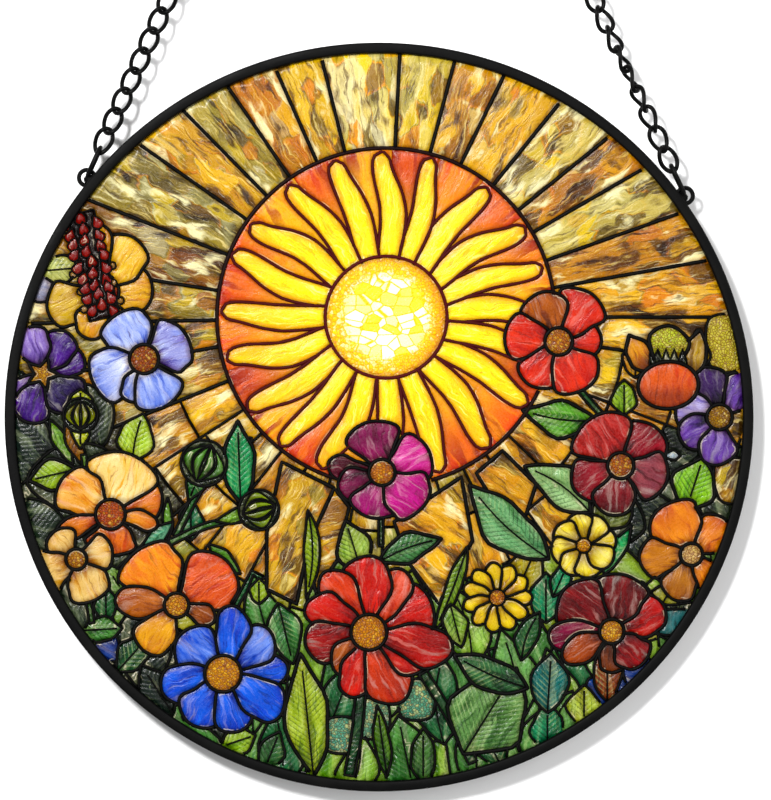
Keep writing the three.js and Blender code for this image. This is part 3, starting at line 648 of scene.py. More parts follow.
# ---- the arrangement: which pane shows where ----

# How far apart the points of a line are: on a pane's lead, on a lead of its own, where distances are
# measured from, on the outlines that the glass is cut along, and beside the leads.
PANE_STEP, LINE_STEP, NEAR_STEP, CUT_STEP, BESIDE_STEP = 1.3, 1.6, 0.45, 2.4, 1.5
# The rows of points that fill the glass, and the distance that they keep from each other.
FILL_REACH, FILL_RISE, FILL_STEP, FILL_GAP = 98, 1.9, 2.2, 0.7


def inside(points, outline):
    """Which of the points lie inside a closed outline."""
    low, high = outline.min(0), outline.max(0)
    near = np.where(((points > low) & (points < high)).all(1))[0]
    x, z = points[near, 0], points[near, 1]
    within = np.zeros(len(near), bool)
    for (x0, z0), (x1, z1) in zip(outline, np.roll(outline, -1, 0)):
        if z0 != z1:
            within ^= ((z0 > z) != (z1 > z)) & (x < (x1 - x0) * (z - z0) / (z1 - z0) + x0)
    result = np.zeros(len(points), bool)
    result[near[within]] = True
    return result


def resample(points, spacing, closed):
    """The line with evenly spaced points, and its own corners kept."""
    points = np.vstack([points, points[:1]]) if closed else points
    made = []
    for a, b in zip(points, points[1:]):
        count = max(1, round(float(np.hypot(*(b - a))) / spacing))
        made += [a + (b - a) * i / count for i in range(count)]
    return np.array(made if closed else [*made, points[-1]])


def visible_runs(points, closed, level):
    """The stretches of a line that no pane above its level covers, each as (points, closed)."""
    after = np.roll(points, -1, 0) if closed else points[1:]
    middles = (points[:len(after)] + after) / 2
    seen = np.hypot(middles[:, 0], middles[:, 1]) < GLASS_RADIUS - 0.3
    for pane in panes[level + 1:]:
        seen &= ~inside(middles, pane["outline"])
    if closed and seen.all():
        return [(points, True)]
    if closed and seen.any():
        start = int(np.argmin(seen)) + 1
        points, seen = np.roll(points, -start, 0), np.roll(seen, -start)
        points = np.vstack([points, points[:1]])
    runs, run = [], []
    for i, shown in enumerate(seen):
        if shown:
            run = run or [points[i]]
            run.append(points[i + 1])
        elif run:
            runs.append((np.array(run), False))
            run = []
    if run:
        runs.append((np.array(run), False))
    return runs


def lead_runs():
    runs = []
    for level, pane in enumerate(panes):
        if pane["lead"]:
            outline = resample(pane["outline"], PANE_STEP, True)
            runs += [(p, c, pane["lead"], pane["warm"]) for p, c in visible_runs(outline, True, level)]
    for line in lines:
        points = resample(line["points"], LINE_STEP, False)
        runs += [(p, c, line["width"], line["warm"]) for p, c in visible_runs(points, False, line["level"])]
    return runs


runs = lead_runs()
lead_points = np.concatenate([resample(p, NEAR_STEP, c) for p, c, _, _ in runs])
lead_tree = kdtree.KDTree(len(lead_points))
for index, (px, pz) in enumerate(lead_points):
    lead_tree.insert((px, pz, 0), index)
lead_tree.balance()


def lead_distance(point):
    return lead_tree.find((point[0], point[1], 0))[2]


def triangulate():
    """One triangulation of every outline, with points between them that carry the glass's colours."""
    points, edges = [], []

    def add_loop(loop):
        start, count = len(points), len(loop)
        points.extend(map(tuple, loop))
        edges.extend((start + i, start + (i + 1) % count) for i in range(count))

    add_loop(circle(0, 0, GLASS_RADIUS, 160))
    for pane in panes:
        outline = resample(pane["outline"], CUT_STEP, True)
        inner = outline[np.hypot(outline[:, 0], outline[:, 1]) < 2.4 * PANEL_RADIUS]
        if len(inner) > 2:
            add_loop(outline)
    fill = []
    for row, z in enumerate(np.arange(-FILL_REACH, FILL_REACH, FILL_RISE)):
        fill += [(x + (1.1 if row % 2 else 0) + dice.uniform(-0.3, 0.3), z + dice.uniform(-0.3, 0.3))
                 for x in np.arange(-FILL_REACH, FILL_REACH, FILL_STEP)]
    for p, closed, width, _ in runs:
        loop = resample(p, BESIDE_STEP, closed)
        normal = normals(np.gradient(loop, axis=0), LEAST)
        fill += [tuple(q) for side in (-1, 1) for q in loop + normal * side * RING_GAP]
    kept = kdtree.KDTree(len(fill))
    for i, (x, z) in enumerate(fill):
        kept.insert((x, z, 0), i)
    kept.balance()
    dropped = set()
    for i, (x, z) in enumerate(fill):
        if i in dropped:
            continue
        if math.hypot(x, z) > GLASS_RADIUS - 0.8 or lead_distance((x, z)) < RING_GAP * 0.8:
            dropped.add(i)
            continue
        dropped.update(j for _, j, _ in kept.find_range((x, z, 0), FILL_GAP) if j > i)
    points += [p for i, p in enumerate(fill) if i not in dropped]
    verts, _, faces, _, _, _ = geometry.delaunay_2d_cdt([Vector(p) for p in points], edges, [], 0, 1e-4)
    return np.array([tuple(v) for v in verts]), np.array([f for f in faces if len(f) == 3])


flat, triangles = triangulate()
centres = flat[triangles].mean(1)
owner = np.full(len(triangles), -1)
for index, pane in enumerate(panes):
    owner[inside(centres, pane["outline"])] = index
owner[np.hypot(centres[:, 0], centres[:, 1]) > GLASS_RADIUS] = -1
flat_edge = np.array([min(lead_distance(p), 4.0) for p in flat])

# ---- mesh helpers ----


def make_object(name, verts, faces, materials, kinds=None):
    """A mesh object from picture millimetres, riding on the part's one body."""
    mesh = bpy.data.meshes.new(name)
    verts = np.asarray(verts, float)
    verts = np.stack([verts[:, 0], verts[:, 1], verts[:, 2] + PICTURE_Z], 1) * MM
    mesh.from_pydata(verts.tolist(), [], [list(f) for f in faces])
    for material in materials:
        mesh.materials.append(material)
    if kinds is not None:
        mesh.polygons.foreach_set("material_index", np.asarray(kinds, np.int32))
    mesh.polygons.foreach_set("use_smooth", np.full(len(mesh.polygons), True))
    mesh.update()
    piece = bpy.data.objects.new(name, mesh)
    bpy.context.scene.collection.objects.link(piece)
    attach(piece, "root")
    return piece


def set_attribute(piece, name, kind, values):
    attribute = piece.data.attributes.new(name, kind, "POINT")
    field = {"FLOAT": "value", "FLOAT_VECTOR": "vector", "FLOAT_COLOR": "color"}[kind]
    attribute.data.foreach_set(field, np.asarray(values, np.float32).ravel())


def ripple(x, z):
    """The slow unevenness of hand-rolled glass, in millimetres."""
    return 0.05 * (np.sin(x * 0.9 + 2 * np.sin(z * 0.35)) + np.sin(z * 1.1 + 1.7 * np.sin(x * 0.28)))


def glass_piece(host, materials):
    """All the panes of one CAD node as closed plates, each with its own colours and grain."""
    verts, faces, kinds, tint, shade, flow, edge = [], [], [], [], [], [], []
    for index in [i for i, pane in enumerate(panes) if pane["host"] == host]:
        pane = panes[index]
        mine = triangles[owner == index]
        if not len(mine):
            continue
        used, local = np.unique(mine, return_inverse=True)
        local = local.reshape(-1, 3)
        spots = flat[used]
        a, b, c = (spots[local[:, i]] for i in range(3))
        turn = (b[:, 0] - a[:, 0]) * (c[:, 1] - a[:, 1]) - (b[:, 1] - a[:, 1]) * (c[:, 0] - a[:, 0])
        local[turn < 0] = local[turn < 0][:, ::-1]
        count, base = len(used), len(verts)
        pillow = np.clip(flat_edge[used] / 2.2, 0, 1)
        bulge = 0.22 * pillow * (2 - pillow) + ripple(spots[:, 0], spots[:, 1]) * pillow
        front = -GLASS_DEPTH / 2 + 0.2 - bulge
        verts += [(x, y, z) for (x, z), y in zip(spots, front)]
        verts += [(x, -y, z) for (x, z), y in zip(spots, front)]
        faces += [tuple(base + local[i]) for i in range(len(local))]
        faces += [tuple(base + count + local[i][::-1]) for i in range(len(local))]
        sides = {(int(f[i]), int(f[(i + 1) % 3])) for f in local for i in range(3)}
        rim = [(p, q) for p, q in sides if (q, p) not in sides]
        faces += [(base + q, base + p, base + count + p, base + count + q) for p, q in sorted(rim)]
        kinds += [pane["kind"]] * (2 * len(local) + len(rim))
        offset = spots - pane["origin"]
        u, v = offset @ polar(pane["direction"]), offset @ polar(pane["direction"] + 90)
        share = np.clip((u - pane["from"]) / max(pane["to"] - pane["from"], 1e-6), 0, 1)
        colour = pane["tint"] + (pane["shade"] - pane["tint"]) * share[:, None]
        other = pane["shade"] + (pane["tint"] - pane["shade"]) * share[:, None]
        if pane["kind"] == FLAME:
            angle = np.degrees(np.arctan2(offset[:, 1], offset[:, 0]))
            u = np.hypot(offset[:, 0], offset[:, 1])
            v = u * np.radians((angle - pane["direction"] + 180) % 360 - 180)
        run = np.stack([u, v, u * 0 + pane["seed"]], 1)
        for values, made in ((colour, tint), (other, shade), (run, flow), (flat_edge[used], edge)):
            made += list(values) * 2
    if not verts:
        return None
    piece = make_object("glass_" + host, verts, faces, materials, kinds)
    set_attribute(piece, "tint", "FLOAT_COLOR", tint)
    set_attribute(piece, "shade", "FLOAT_COLOR", shade)
    set_attribute(piece, "flow", "FLOAT_VECTOR", flow)
    set_attribute(piece, "edge", "FLOAT", edge)
    return piece


BEAD = [(-1, -0.62), (-0.8, -0.86), (-0.32, -1), (0.32, -1), (0.8, -0.86),
        (1, -0.62), (1, 0.62), (0.8, 0.86), (0.32, 1), (-0.32, 1), (-0.8, 0.86), (-1, 0.62)]


def bead(points, closed, width):
    """A rounded lead along a line of the picture, through the whole depth: its points and faces."""
    step = np.roll(points, -1, 0) - np.roll(points, 1, 0)
    if not closed:
        step[0], step[-1] = points[1] - points[0], points[-1] - points[-2]
    normal = normals(step, LEAST)
    half = width / 2 * (1 + 0.07 * np.sin(points[:, 0] * 1.3) * np.cos(points[:, 1] * 1.1))
    depth = LEAD_DEPTH / 2 * (0.97 + 0.03 * np.sin(points[:, 0] * 0.8 + points[:, 1]))
    count, sides = len(points), len(BEAD)
    verts = [(p[0] + n[0] * h * s, d * t, p[1] + n[1] * h * s)
             for p, n, h, d in zip(points, normal, half, depth) for s, t in BEAD]
    faces = grid_faces(count, sides)[:(count if closed else count - 1) * sides]
    if not closed:
        faces += [tuple(range(sides)), tuple(range(count * sides - 1, (count - 1) * sides - 1, -1))]
    return verts, faces


def leading_piece(material):
    verts, faces, warm = [], [], []
    for points, closed, width, warmth in runs:
        made, made_faces = bead(points, closed, width)
        base = len(verts)
        verts += made
        faces += [tuple(base + i for i in face) for face in made_faces]
        warm += [warmth] * len(made)
    piece = make_object("leading_net", verts, faces, [material])
    set_attribute(piece, "warm", "FLOAT", warm)
    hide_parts("leading")
    return piece


# ---- rim, chains and ring ----

RIM_STEPS = 240


def rim_piece(material):
    """The band with softened edges, and two wire eyelets in blobs of solder."""
    inner, outer, half, soft = PANEL_RADIUS - RIM_WIDTH, PANEL_RADIUS, RIM_DEPTH / 2, 0.45
    corners = [(inner, -half, 180), (outer, -half, 270), (outer, half, 0), (inner, half, 90)]
    profile = []
    for r, y, start in corners:
        centre = (r + (soft if r == inner else -soft), y + (soft if y < 0 else -soft))
        profile += [(centre[0] + soft * math.cos(math.radians(start + a)),
                     centre[1] + soft * math.sin(math.radians(start + a))) for a in (0, 30, 60, 90)]
    verts = []
    for i in range(RIM_STEPS):
        angle = 2 * math.pi * i / RIM_STEPS
        verts += [(r * math.cos(angle), y, r * math.sin(angle)) for r, y in profile]
    faces = [(a, d, c, b) for a, b, c, d in grid_faces(RIM_STEPS, len(profile))]
    for chain in CHAINS:
        place = eyelet_place(chain)
        angle = math.degrees(math.atan2(place[1], place[0]))
        loop = torus(EYELET_RADIUS, WIRE, 28, 10)
        add_solid(verts, faces, on_line(loop[0], place, angle, 0, 90), loop[1])
        blob = ball(2.3, 1.3, 1.7)
        add_solid(verts, faces, on_line(blob[0], polar(angle, PANEL_RADIUS - 0.6), angle, 0, 0), blob[1])
    piece = make_object("rim_band", verts, faces, [material])
    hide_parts("rim")
    return piece


def add_solid(verts, faces, more, more_faces):
    base = len(verts)
    verts += [tuple(p) for p in more]
    faces += [tuple(base + i for i in face) for face in more_faces]


def grid_faces(rings, sides):
    return [(i * sides + k, (i + 1) % rings * sides + k, (i + 1) % rings * sides + (k + 1) % sides,
             i * sides + (k + 1) % sides) for i in range(rings) for k in range(sides)]


def torus(radius, wire, corners, sides):
    """A ring of wire in the XY plane of its own: points and faces."""
    verts = []
    for i in range(corners):
        a = 2 * math.pi * i / corners
        for k in range(sides):
            b = 2 * math.pi * k / sides
            reach = radius + wire / 2 * math.cos(b)
            verts.append((reach * math.cos(a), reach * math.sin(a), wire / 2 * math.sin(b)))
    return np.array(verts), grid_faces(corners, sides)


def ball(rx, ry, rz, rings=8, sides=14):
    verts = []
    for i in range(1, rings):
        a = math.pi * i / rings
        for k in range(sides):
            b = 2 * math.pi * k / sides
            verts.append((rx * math.cos(a), ry * math.sin(a) * math.cos(b), rz * math.sin(a) * math.sin(b)))
    faces = grid_faces(rings - 1, sides)[:(rings - 2) * sides]
    faces += [tuple(range(sides))[::-1], tuple(range((rings - 2) * sides, (rings - 1) * sides))]
    return np.array(verts), faces


def bulged(value, fullness):
    return np.sign(value) * np.abs(value) ** fullness


def wire_loop(length, width, wire, twist, fullness, corners=30, sides=9):
    """A closed loop of round wire: length along X, width along Y, its two ends apart by the twist."""
    a = 2 * np.pi * np.arange(corners) / corners
    x = (length - wire) / 2 * bulged(np.cos(a), fullness)
    y = (width - wire) / 2 * bulged(np.sin(a), fullness)
    step_x, step_y = np.roll(x, -1) - np.roll(x, 1), np.roll(y, -1) - np.roll(y, 1)
    size = np.hypot(step_x, step_y)
    out_x, out_y = step_y / size, -step_x / size
    verts = []
    for i in range(corners):
        roll = math.radians(twist) * x[i] / (length - wire)
        for k in range(sides):
            b = 2 * math.pi * k / sides
            px = x[i] + out_x[i] * wire / 2 * math.cos(b)
            py = y[i] + out_y[i] * wire / 2 * math.cos(b)
            pz = wire / 2 * math.sin(b)
            c, d = math.cos(roll), math.sin(roll)
            verts.append((px, py * c - pz * d, py * d + pz * c))
    return np.array(verts), grid_faces(corners, sides)


def on_line(points, start, angle, distance, roll):
    """Loop points on a chain line: roll 90 shows the face to the front, roll 0 the edge."""
    r, a = math.radians(roll), math.radians(angle)
    x, y, z = points[:, 0], points[:, 1], points[:, 2]
    y, z = y * math.cos(r) - z * math.sin(r), y * math.sin(r) + z * math.cos(r)
    return np.stack([start[0] + (x + distance) * math.cos(a) - z * math.sin(a), y,
                     start[1] + (x + distance) * math.sin(a) + z * math.cos(a)], 1)


CONNECTOR_START = EYELET_RADIUS - WIRE / 2 - JOINT_GAP - WIRE
CHAIN_START = CONNECTOR_START + CONNECTOR_LENGTH - WIRE - HOOK_GAP - WIRE
LINK_PITCH = LINK_LENGTH - 2 * WIRE


def eyelet_place(chain):
    end = CHAIN_START + (chain["links"] - 1) * LINK_PITCH + LINK_LENGTH
    reach = end - WIRE - HOOK_GAP + RING_RADIUS - RING_WIRE / 2
    cosine = (EYELET_REACH ** 2 + HANG_HEIGHT ** 2 - reach ** 2) / (2 * EYELET_REACH * HANG_HEIGHT)
    return polar(90 + chain["sign"] * math.degrees(math.acos(cosine)), EYELET_REACH)


def roll_of(chain, link):
    return float(np.interp(link, *zip(*chain["rolls"])))


def chain_pieces(chain, material):
    start = eyelet_place(chain)
    step = np.array([0, HANG_HEIGHT]) - start
    angle = math.degrees(math.atan2(step[1], step[0]))
    verts, faces = [], []
    for i in range(chain["links"]):
        loop, loop_faces = wire_loop(LINK_LENGTH, LINK_WIDTH, WIRE, LINK_TWIST, 0.82)
        distance = CHAIN_START + i * LINK_PITCH + LINK_LENGTH / 2
        add_solid(verts, faces, on_line(loop, start, angle, distance, roll_of(chain, i)), loop_faces)
    links = make_object("curb_chain_" + chain["side"], verts, faces, [material])
    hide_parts("chain_" + chain["side"])
    verts, faces = [], []
    loop, loop_faces = wire_loop(CONNECTOR_LENGTH, CONNECTOR_WIDTH, WIRE, 0, 0.7)
    centre = CONNECTOR_START + CONNECTOR_LENGTH / 2
    add_solid(verts, faces, on_line(loop, start, angle, centre, 0), loop_faces)
    connector = make_object("connector_link_" + chain["side"], verts, faces, [material])
    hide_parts("connector_" + chain["side"])
    return [links, connector]


def ring_piece(material):
    loop, faces = torus(RING_RADIUS, RING_WIRE, 64, 14)
    piece = make_object("hanging_ring_wire", on_line(loop, (0, HANG_HEIGHT), 90, 0, 90), faces, [material])
    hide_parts("hanging_ring")
    return piece


# ---- materials ----


# How much light the body of the glass gives back.
BODY, SUN_BODY = 0.70, 0.80
DEPTH_OF_COLOUR = 1.16


class Tree:
    """A material's nodes. Values that are sockets are linked, and the others are set."""

    def __init__(self, name):
        self.material = bpy.data.materials.new(name)
        self.material.use_nodes = True
        self.nodes, self.links = self.material.node_tree.nodes, self.material.node_tree.links
        self.nodes.clear()

    def add(self, kind, inputs=None, **settings):
        node = self.nodes.new("ShaderNode" + kind)
        for name, value in settings.items():
            setattr(node, name, value)
        for name, value in (inputs or {}).items():
            if isinstance(value, bpy.types.NodeSocket):
                self.links.new(value, node.inputs[name])
            else:
                node.inputs[name].default_value = value
        return node

    def attribute(self, name, output):
        return self.add("Attribute", attribute_name=name).outputs[output]

    def math(self, operation, a, b=0.0):
        return self.add("Math", {0: a, 1: b}, operation=operation).outputs[0]

    def scaled(self, vector, scale):
        return self.add("VectorMath", {0: vector, 1: scale}, operation="MULTIPLY").outputs[0]

    def noise(self, vector, scale, detail=3.0, roughness=0.5, distortion=0.0):
        node = self.add("TexNoise", {"Vector": vector, "Scale": scale, "Detail": detail,
                                     "Roughness": roughness, "Distortion": distortion})
        return node.outputs["Fac"]

    def cracks(self, vector):
        """How far a point is from the border of its cell."""
        node = self.add("TexVoronoi", {"Vector": vector, "Scale": 1.0}, feature="DISTANCE_TO_EDGE")
        return node.outputs["Distance"]

    def cell(self, vector):
        """One even random value for each cell."""
        cells = self.add("TexVoronoi", {"Vector": vector, "Scale": 1.0})
        return self.add("SeparateColor", {0: cells.outputs["Color"]}).outputs[0]

    def span(self, value, low, high, to_low=0.0, to_high=1.0):
        return self.add("MapRange", {"Value": value, "From Min": low, "From Max": high, "To Min": to_low,
                                     "To Max": to_high}, interpolation_type="SMOOTHSTEP").outputs[0]

    def mix(self, share, a, b, blend="MIX"):
        node = self.add("Mix", data_type="RGBA", blend_type=blend)
        for socket, value in ((node.inputs[0], share), (node.inputs[6], a), (node.inputs[7], b)):
            if isinstance(value, bpy.types.NodeSocket):
                self.links.new(value, socket)
            else:
                socket.default_value = value
        return node.outputs[2]

    def lay(self, colour, value, low, high, strength, over, blend="MIX"):
        """Another colour over this one, as a value goes from low to high."""
        return self.mix(self.span(value, low, high, 0, strength), colour, over, blend)

    def layers(self, colour, rows):
        for row in rows:
            colour = self.lay(colour, *row)
        return colour

    def ramp(self, value, stops):
        """Colours blended along a value from (position, colour) stops."""
        node = self.add("ValToRGB", {0: value})
        elements = node.color_ramp.elements
        while len(elements) < len(stops):
            elements.new(0.5)
        for element, (position, colour) in zip(elements, stops):
            element.position, element.color = position, colour
        return node.outputs[0]

    def bump(self, height, distance, strength=1.0, normal=None):
        inputs = {"Height": height, "Distance": distance, "Strength": strength}
        if normal is not None:
            inputs["Normal"] = normal
        return self.add("Bump", inputs).outputs[0]

    def finish(self, **inputs):
        shader = self.add("BsdfPrincipled", {k.replace("_", " "): v for k, v in inputs.items()})
        self.add("OutputMaterial", {"Surface": shader.outputs[0]})
        return self.material


def glass_material(name, kind):
    """Opalescent art glass. It runs in streaks along each pane's own direction. Its colour also carries
    painted shade beside the leads and by a flower's heart, and a painted highlight along some edges.
    """
    t = Tree(name)
    tint, shade = t.attribute("tint", "Color"), t.attribute("shade", "Color")
    flow, edge = t.attribute("flow", "Vector"), t.attribute("edge", "Fac")
    warp = t.noise(t.scaled(flow, (0.12, 0.22, 0.37)), 1.0, 3)
    u, v, seed = t.add("SeparateXYZ", {0: flow}).outputs[:3]
    wavy = t.math("ADD", v, t.math("MULTIPLY", warp, 5.0))
    bent = t.add("CombineXYZ", {0: u, 1: wavy, 2: seed}).outputs[0]
    wide = t.noise(t.scaled(bent, (0.05, 0.32, 0.37)), 1.0, 4, 0.55, 0.6)
    narrow = t.noise(t.scaled(bent, (0.12, 1.6, 0.37)), 1.0, 4, 0.6, 0.3)
    hair = t.noise(t.scaled(bent, (0.3, 5.5, 0.37)), 1.0, 2, 0.5)
    fleck = t.noise(t.scaled(flow, (1.6, 1.6, 0.37)), 1.0, 3, 0.6)
    colour = t.mix(t.span(wide, 0.38, 0.62), tint, shade)
    height = narrow
    depth = 0.0002
    if kind == STREAKY:
        soft = t.noise(t.scaled(bent, (0.10, 0.75, 0.37)), 1.0, 3, 0.55, 0.4)
        pale = t.mix(0.20, shade, (1.0, 0.93, 0.84, 1))
        colour = t.layers(colour, [
            (soft, 0.52, 0.68, 0.8, pale),
            (soft, 0.48, 0.34, 0.9, t.mix(0.75, tint, tint, "MULTIPLY")),
            (narrow, 0.57, 0.70, 0.3, pale),
            (narrow, 0.44, 0.32, 0.6, (0.20, 0.08, 0.06, 1), "MULTIPLY"),
            # Painted shade: darker within about 6.5 mm of each pane's origin, which for a petal is its
            # flower's heart.
            (u, 6.5, 2.5, 0.6, (0.18, 0.06, 0.05, 1), "MULTIPLY"),
        ])
    elif kind in (LEAFY, MOSS):
        side = t.math("ABSOLUTE", v)
        vein = t.math("SINE", t.math("SUBTRACT", t.math("MULTIPLY", u, 4.2), t.math("MULTIPLY", side, 3.6)))
        vein = t.math("ADD", vein, t.math("MULTIPLY", t.math("SUBTRACT", warp, 0.5), 3.4))
        strength = 0.7 if kind == LEAFY else 0.15
        colour = t.layers(colour, [
            (wide, 0.50, 0.64, 0.6, t.mix(0.25, shade, (0.80, 0.90, 0.55, 1))),
            (wide, 0.48, 0.34, 0.85, t.mix(0.9, tint, tint, "MULTIPLY")),
            (fleck, 0.48, 0.34, 0.35, (0.10, 0.22, 0.08, 1), "MULTIPLY"),
            (vein, 0.8, 1.3, 0.30 * strength, (0.70, 0.86, 0.40, 1)),
            (vein, -0.7, -1.2, 0.75 * strength, (0.02, 0.07, 0.02, 1), "MULTIPLY"),
            (narrow, 0.48, 0.32, 0.7, (0.06, 0.16, 0.05, 1), "MULTIPLY"),
            (hair, 0.64, 0.74, 0.3, (0.62, 0.80, 0.40, 1)),
        ])
        height = t.math("ADD", narrow, t.math("MULTIPLY", vein, 0.2))
    elif kind == RAY:
        spot = t.add("CombineXYZ", {0: t.math("ADD", u, t.math("MULTIPLY", fleck, 1.5)),
                                    1: t.math("ADD", v, t.math("MULTIPLY", warp, 7.0)), 2: seed}).outputs[0]
        chip = t.add("TexVoronoi", {"Vector": t.scaled(spot, (0.13, 0.26, 0.71)), "Scale": 1.0,
                                    "Smoothness": 0.35}, feature="SMOOTH_F1")
        pick = t.add("SeparateColor", {0: chip.outputs["Color"]})
        paint = t.ramp(pick.outputs[0], [
            (0.22, (0.10, 0.055, 0.012, 1)), (0.34, (0.34, 0.15, 0.02, 1)), (0.44, (0.84, 0.30, 0.012, 1)),
            (0.52, (0.70, 0.42, 0.05, 1)), (0.60, (0.34, 0.31, 0.09, 1)), (0.70, (0.80, 0.76, 0.42, 1)),
            (0.82, (1.0, 0.74, 0.10, 1))])
        glow = t.noise(t.scaled(bent, (0.07, 0.22, 1.73)), 1.0, 4, 0.55, 0.5)
        paint = t.mix(0.55, paint, t.mix(1.0, paint, tint, "MULTIPLY"))
        colour = t.mix(t.span(pick.outputs[1], 0.35, 0.62, 0.15, 0.85), colour, paint)
        colour = t.layers(colour, [
            (glow, 0.55, 0.66, 0.85, (1.0, 0.93, 0.55, 1)),
            (glow, 0.47, 0.34, 0.9, (0.12, 0.06, 0.015, 1), "MULTIPLY"),
            (narrow, 0.54, 0.68, 0.5, (1.0, 0.80, 0.34, 1)),
            (narrow, 0.47, 0.32, 0.75, (0.10, 0.045, 0.02, 1), "MULTIPLY"),
            (hair, 0.62, 0.72, 0.3, (1.0, 0.93, 0.72, 1)),
        ])
        height = t.math("ADD", narrow, t.math("MULTIPLY", pick.outputs[0], 1.2))
    elif kind == EMBER:
        streak = t.noise(t.scaled(bent, (0.03, 0.30, 0.37)), 1.0, 3, 0.5, 0.3)
        near_sun = t.span(u, 40, 22)
        colour = t.mix(t.span(streak, 0.36, 0.62), shade, tint)
        colour = t.mix(t.math("MULTIPLY", near_sun, 0.65), colour, (1.0, 0.55, 0.02, 1))
        colour = t.mix(t.math("MULTIPLY", t.span(u, 30, 45), t.span(streak, 0.50, 0.36)), colour,
                       (0.34, 0.02, 0.004, 1))
        colour = t.lay(colour, hair, 0.60, 0.74, 0.18, (1.0, 0.66, 0.16, 1))
    elif kind == FLAME:
        side = t.math("ABSOLUTE", v)
        colour = t.mix(t.span(wide, 0.40, 0.62, 0, 0.6), tint, (1.0, 0.72, 0.008, 1))
        colour = t.mix(t.span(u, 15, 33, 0.35, 0), colour, (1.0, 0.93, 0.30, 1))
        colour = t.layers(colour, [
            (side, 1.2, 3.0, 0.75, (1.0, 0.47, 0.004, 1)),
            (narrow, 0.54, 0.66, 0.75, (1.0, 0.93, 0.34, 1)),
            (narrow, 0.47, 0.36, 0.7, (0.90, 0.40, 0.004, 1)),
            (hair, 0.36, 0.28, 0.6, (0.45, 0.15, 0.01, 1)),
        ])
    elif kind == CHIPS:
        reach = t.math("SQRT", t.math("ADD", t.math("MULTIPLY", u, u), t.math("MULTIPLY", v, v)))
        reach = t.math("ADD", reach, t.math("MULTIPLY", t.math("SUBTRACT", fleck, 0.5), 7))
        middle_part = t.span(reach, 13.0, 10.0)
        big, small = t.scaled(flow, (0.27, 0.36, 0.37)), t.scaled(flow, (1.05, 1.05, 0.37))
        plate_pick, plate_joint = t.cell(big), t.cracks(big)
        grain_pick, grain_joint = t.cell(small), t.cracks(small)
        plates = t.mix(t.span(plate_pick, 0.1, 0.6), (1.0, 0.82, 0.16, 1), (1.0, 0.99, 0.82, 1))
        plates = t.mix(t.span(plate_joint, 0.06, 0.015), plates, (0.92, 0.62, 0.02, 1))
        grains = t.mix(grain_pick, tint, shade)
        grains = t.lay(grains, grain_pick, 0.65, 0.9, 0.8, (1.0, 0.93, 0.50, 1))
        rightward = t.math("ADD", reach, t.math("MULTIPLY", u, 0.14))
        grains = t.lay(grains, rightward, 13.0, 17.5, 0.85, (0.80, 0.34, 0.02, 1))
        grains = t.lay(grains, grain_joint, 0.14, 0.0, 0.7, (0.80, 0.42, 0.03, 1), "MULTIPLY")
        colour = t.mix(middle_part, grains, plates)
        height = t.math("ADD", t.span(plate_joint, 0.0, 0.1), t.span(grain_joint, 0.0, 0.3))
    else:
        spot = t.scaled(flow, (1.35, 1.35, 0.37))
        pick, border = t.cell(spot), t.cracks(spot)
        colour = t.mix(pick, tint, shade)
        colour = t.layers(colour, [
            (pick, 0.55, 0.95, 0.7, t.mix(0.5, tint, (1.0, 0.82, 0.30, 1))),
            (border, 0.16, 0.0, 0.85, (0.22, 0.06, 0.02, 1), "MULTIPLY"),
        ])
        height = t.span(border, 0.0, 0.3)
        depth = 0.0003
    # Painted shade: the glass darkens over the last 1.7 mm before a lead and is darkest at 0.5 mm.
    colour = t.lay(colour, edge, 1.7, 0.5, 0.5, (0.34, 0.20, 0.12, 1), "MULTIPLY")
    # Painted highlight: a thin pale line about half a millimetre in from the leads, shown only where the
    # broad streaks are light.
    painted_edge_glint = t.math("MULTIPLY", t.span(edge, 0.42, 0.55), t.span(edge, 0.80, 0.62))
    painted_edge_glint = t.math("MULTIPLY", painted_edge_glint, t.span(wide, 0.54, 0.66, 0, 0.5))
    colour = t.mix(painted_edge_glint, colour, (1.0, 0.90, 0.66, 1))
    colour = t.add("HueSaturation", {"Saturation": DEPTH_OF_COLOUR, "Color": colour}).outputs[0]
    body = SUN_BODY if kind in (FLAME, CHIPS, EMBER) else BODY
    colour = t.mix(1.0, colour, (body, body, body, 1), "MULTIPLY")
    normal = t.bump(height, depth, 0.6)
    normal = t.bump(fleck, 0.00008, 0.5, normal)
    rough = t.span(fleck, 0.3, 0.7, 0.20, 0.38)
    return t.finish(Base_Color=colour, Roughness=rough, Normal=normal, Transmission_Weight=0.1, IOR=1.45,
                    Specular_IOR_Level=0.18)


def metal_material(name, colour, rough, worn, scale):
    """Black-painted metal, a little uneven in gloss and tone."""
    t = Tree(name)
    place = t.add("TexCoord").outputs["Object"]
    patches = t.noise(place, scale, 4, 0.6)
    fine = t.noise(place, scale * 9, 3, 0.6)
    tone = t.mix(t.span(patches, 0.45, 0.7, 0, 0.7), colour, worn)
    if name == "lead_metal":
        tone = t.mix(t.attribute("warm", "Fac"), tone, (0.055, 0.004, 0.005, 1))
    rough = t.span(patches, 0.3, 0.7, rough, rough + 0.18)
    normal = t.bump(patches, 0.00025, 0.5)
    normal = t.bump(fine, 0.00004, 0.6, normal)
    return t.finish(Base_Color=tone, Roughness=rough, Normal=normal, Specular_IOR_Level=0.04)


KIND_NAMES = {STREAKY: "streaky", LEAFY: "leafy", RAY: "ray", GRAIN: "grain", CHIPS: "chips",
              FLAME: "flame", MOSS: "moss", EMBER: "ember"}
glass_materials = [glass_material("glass_" + KIND_NAMES[kind], kind) for kind in KIND_NAMES]

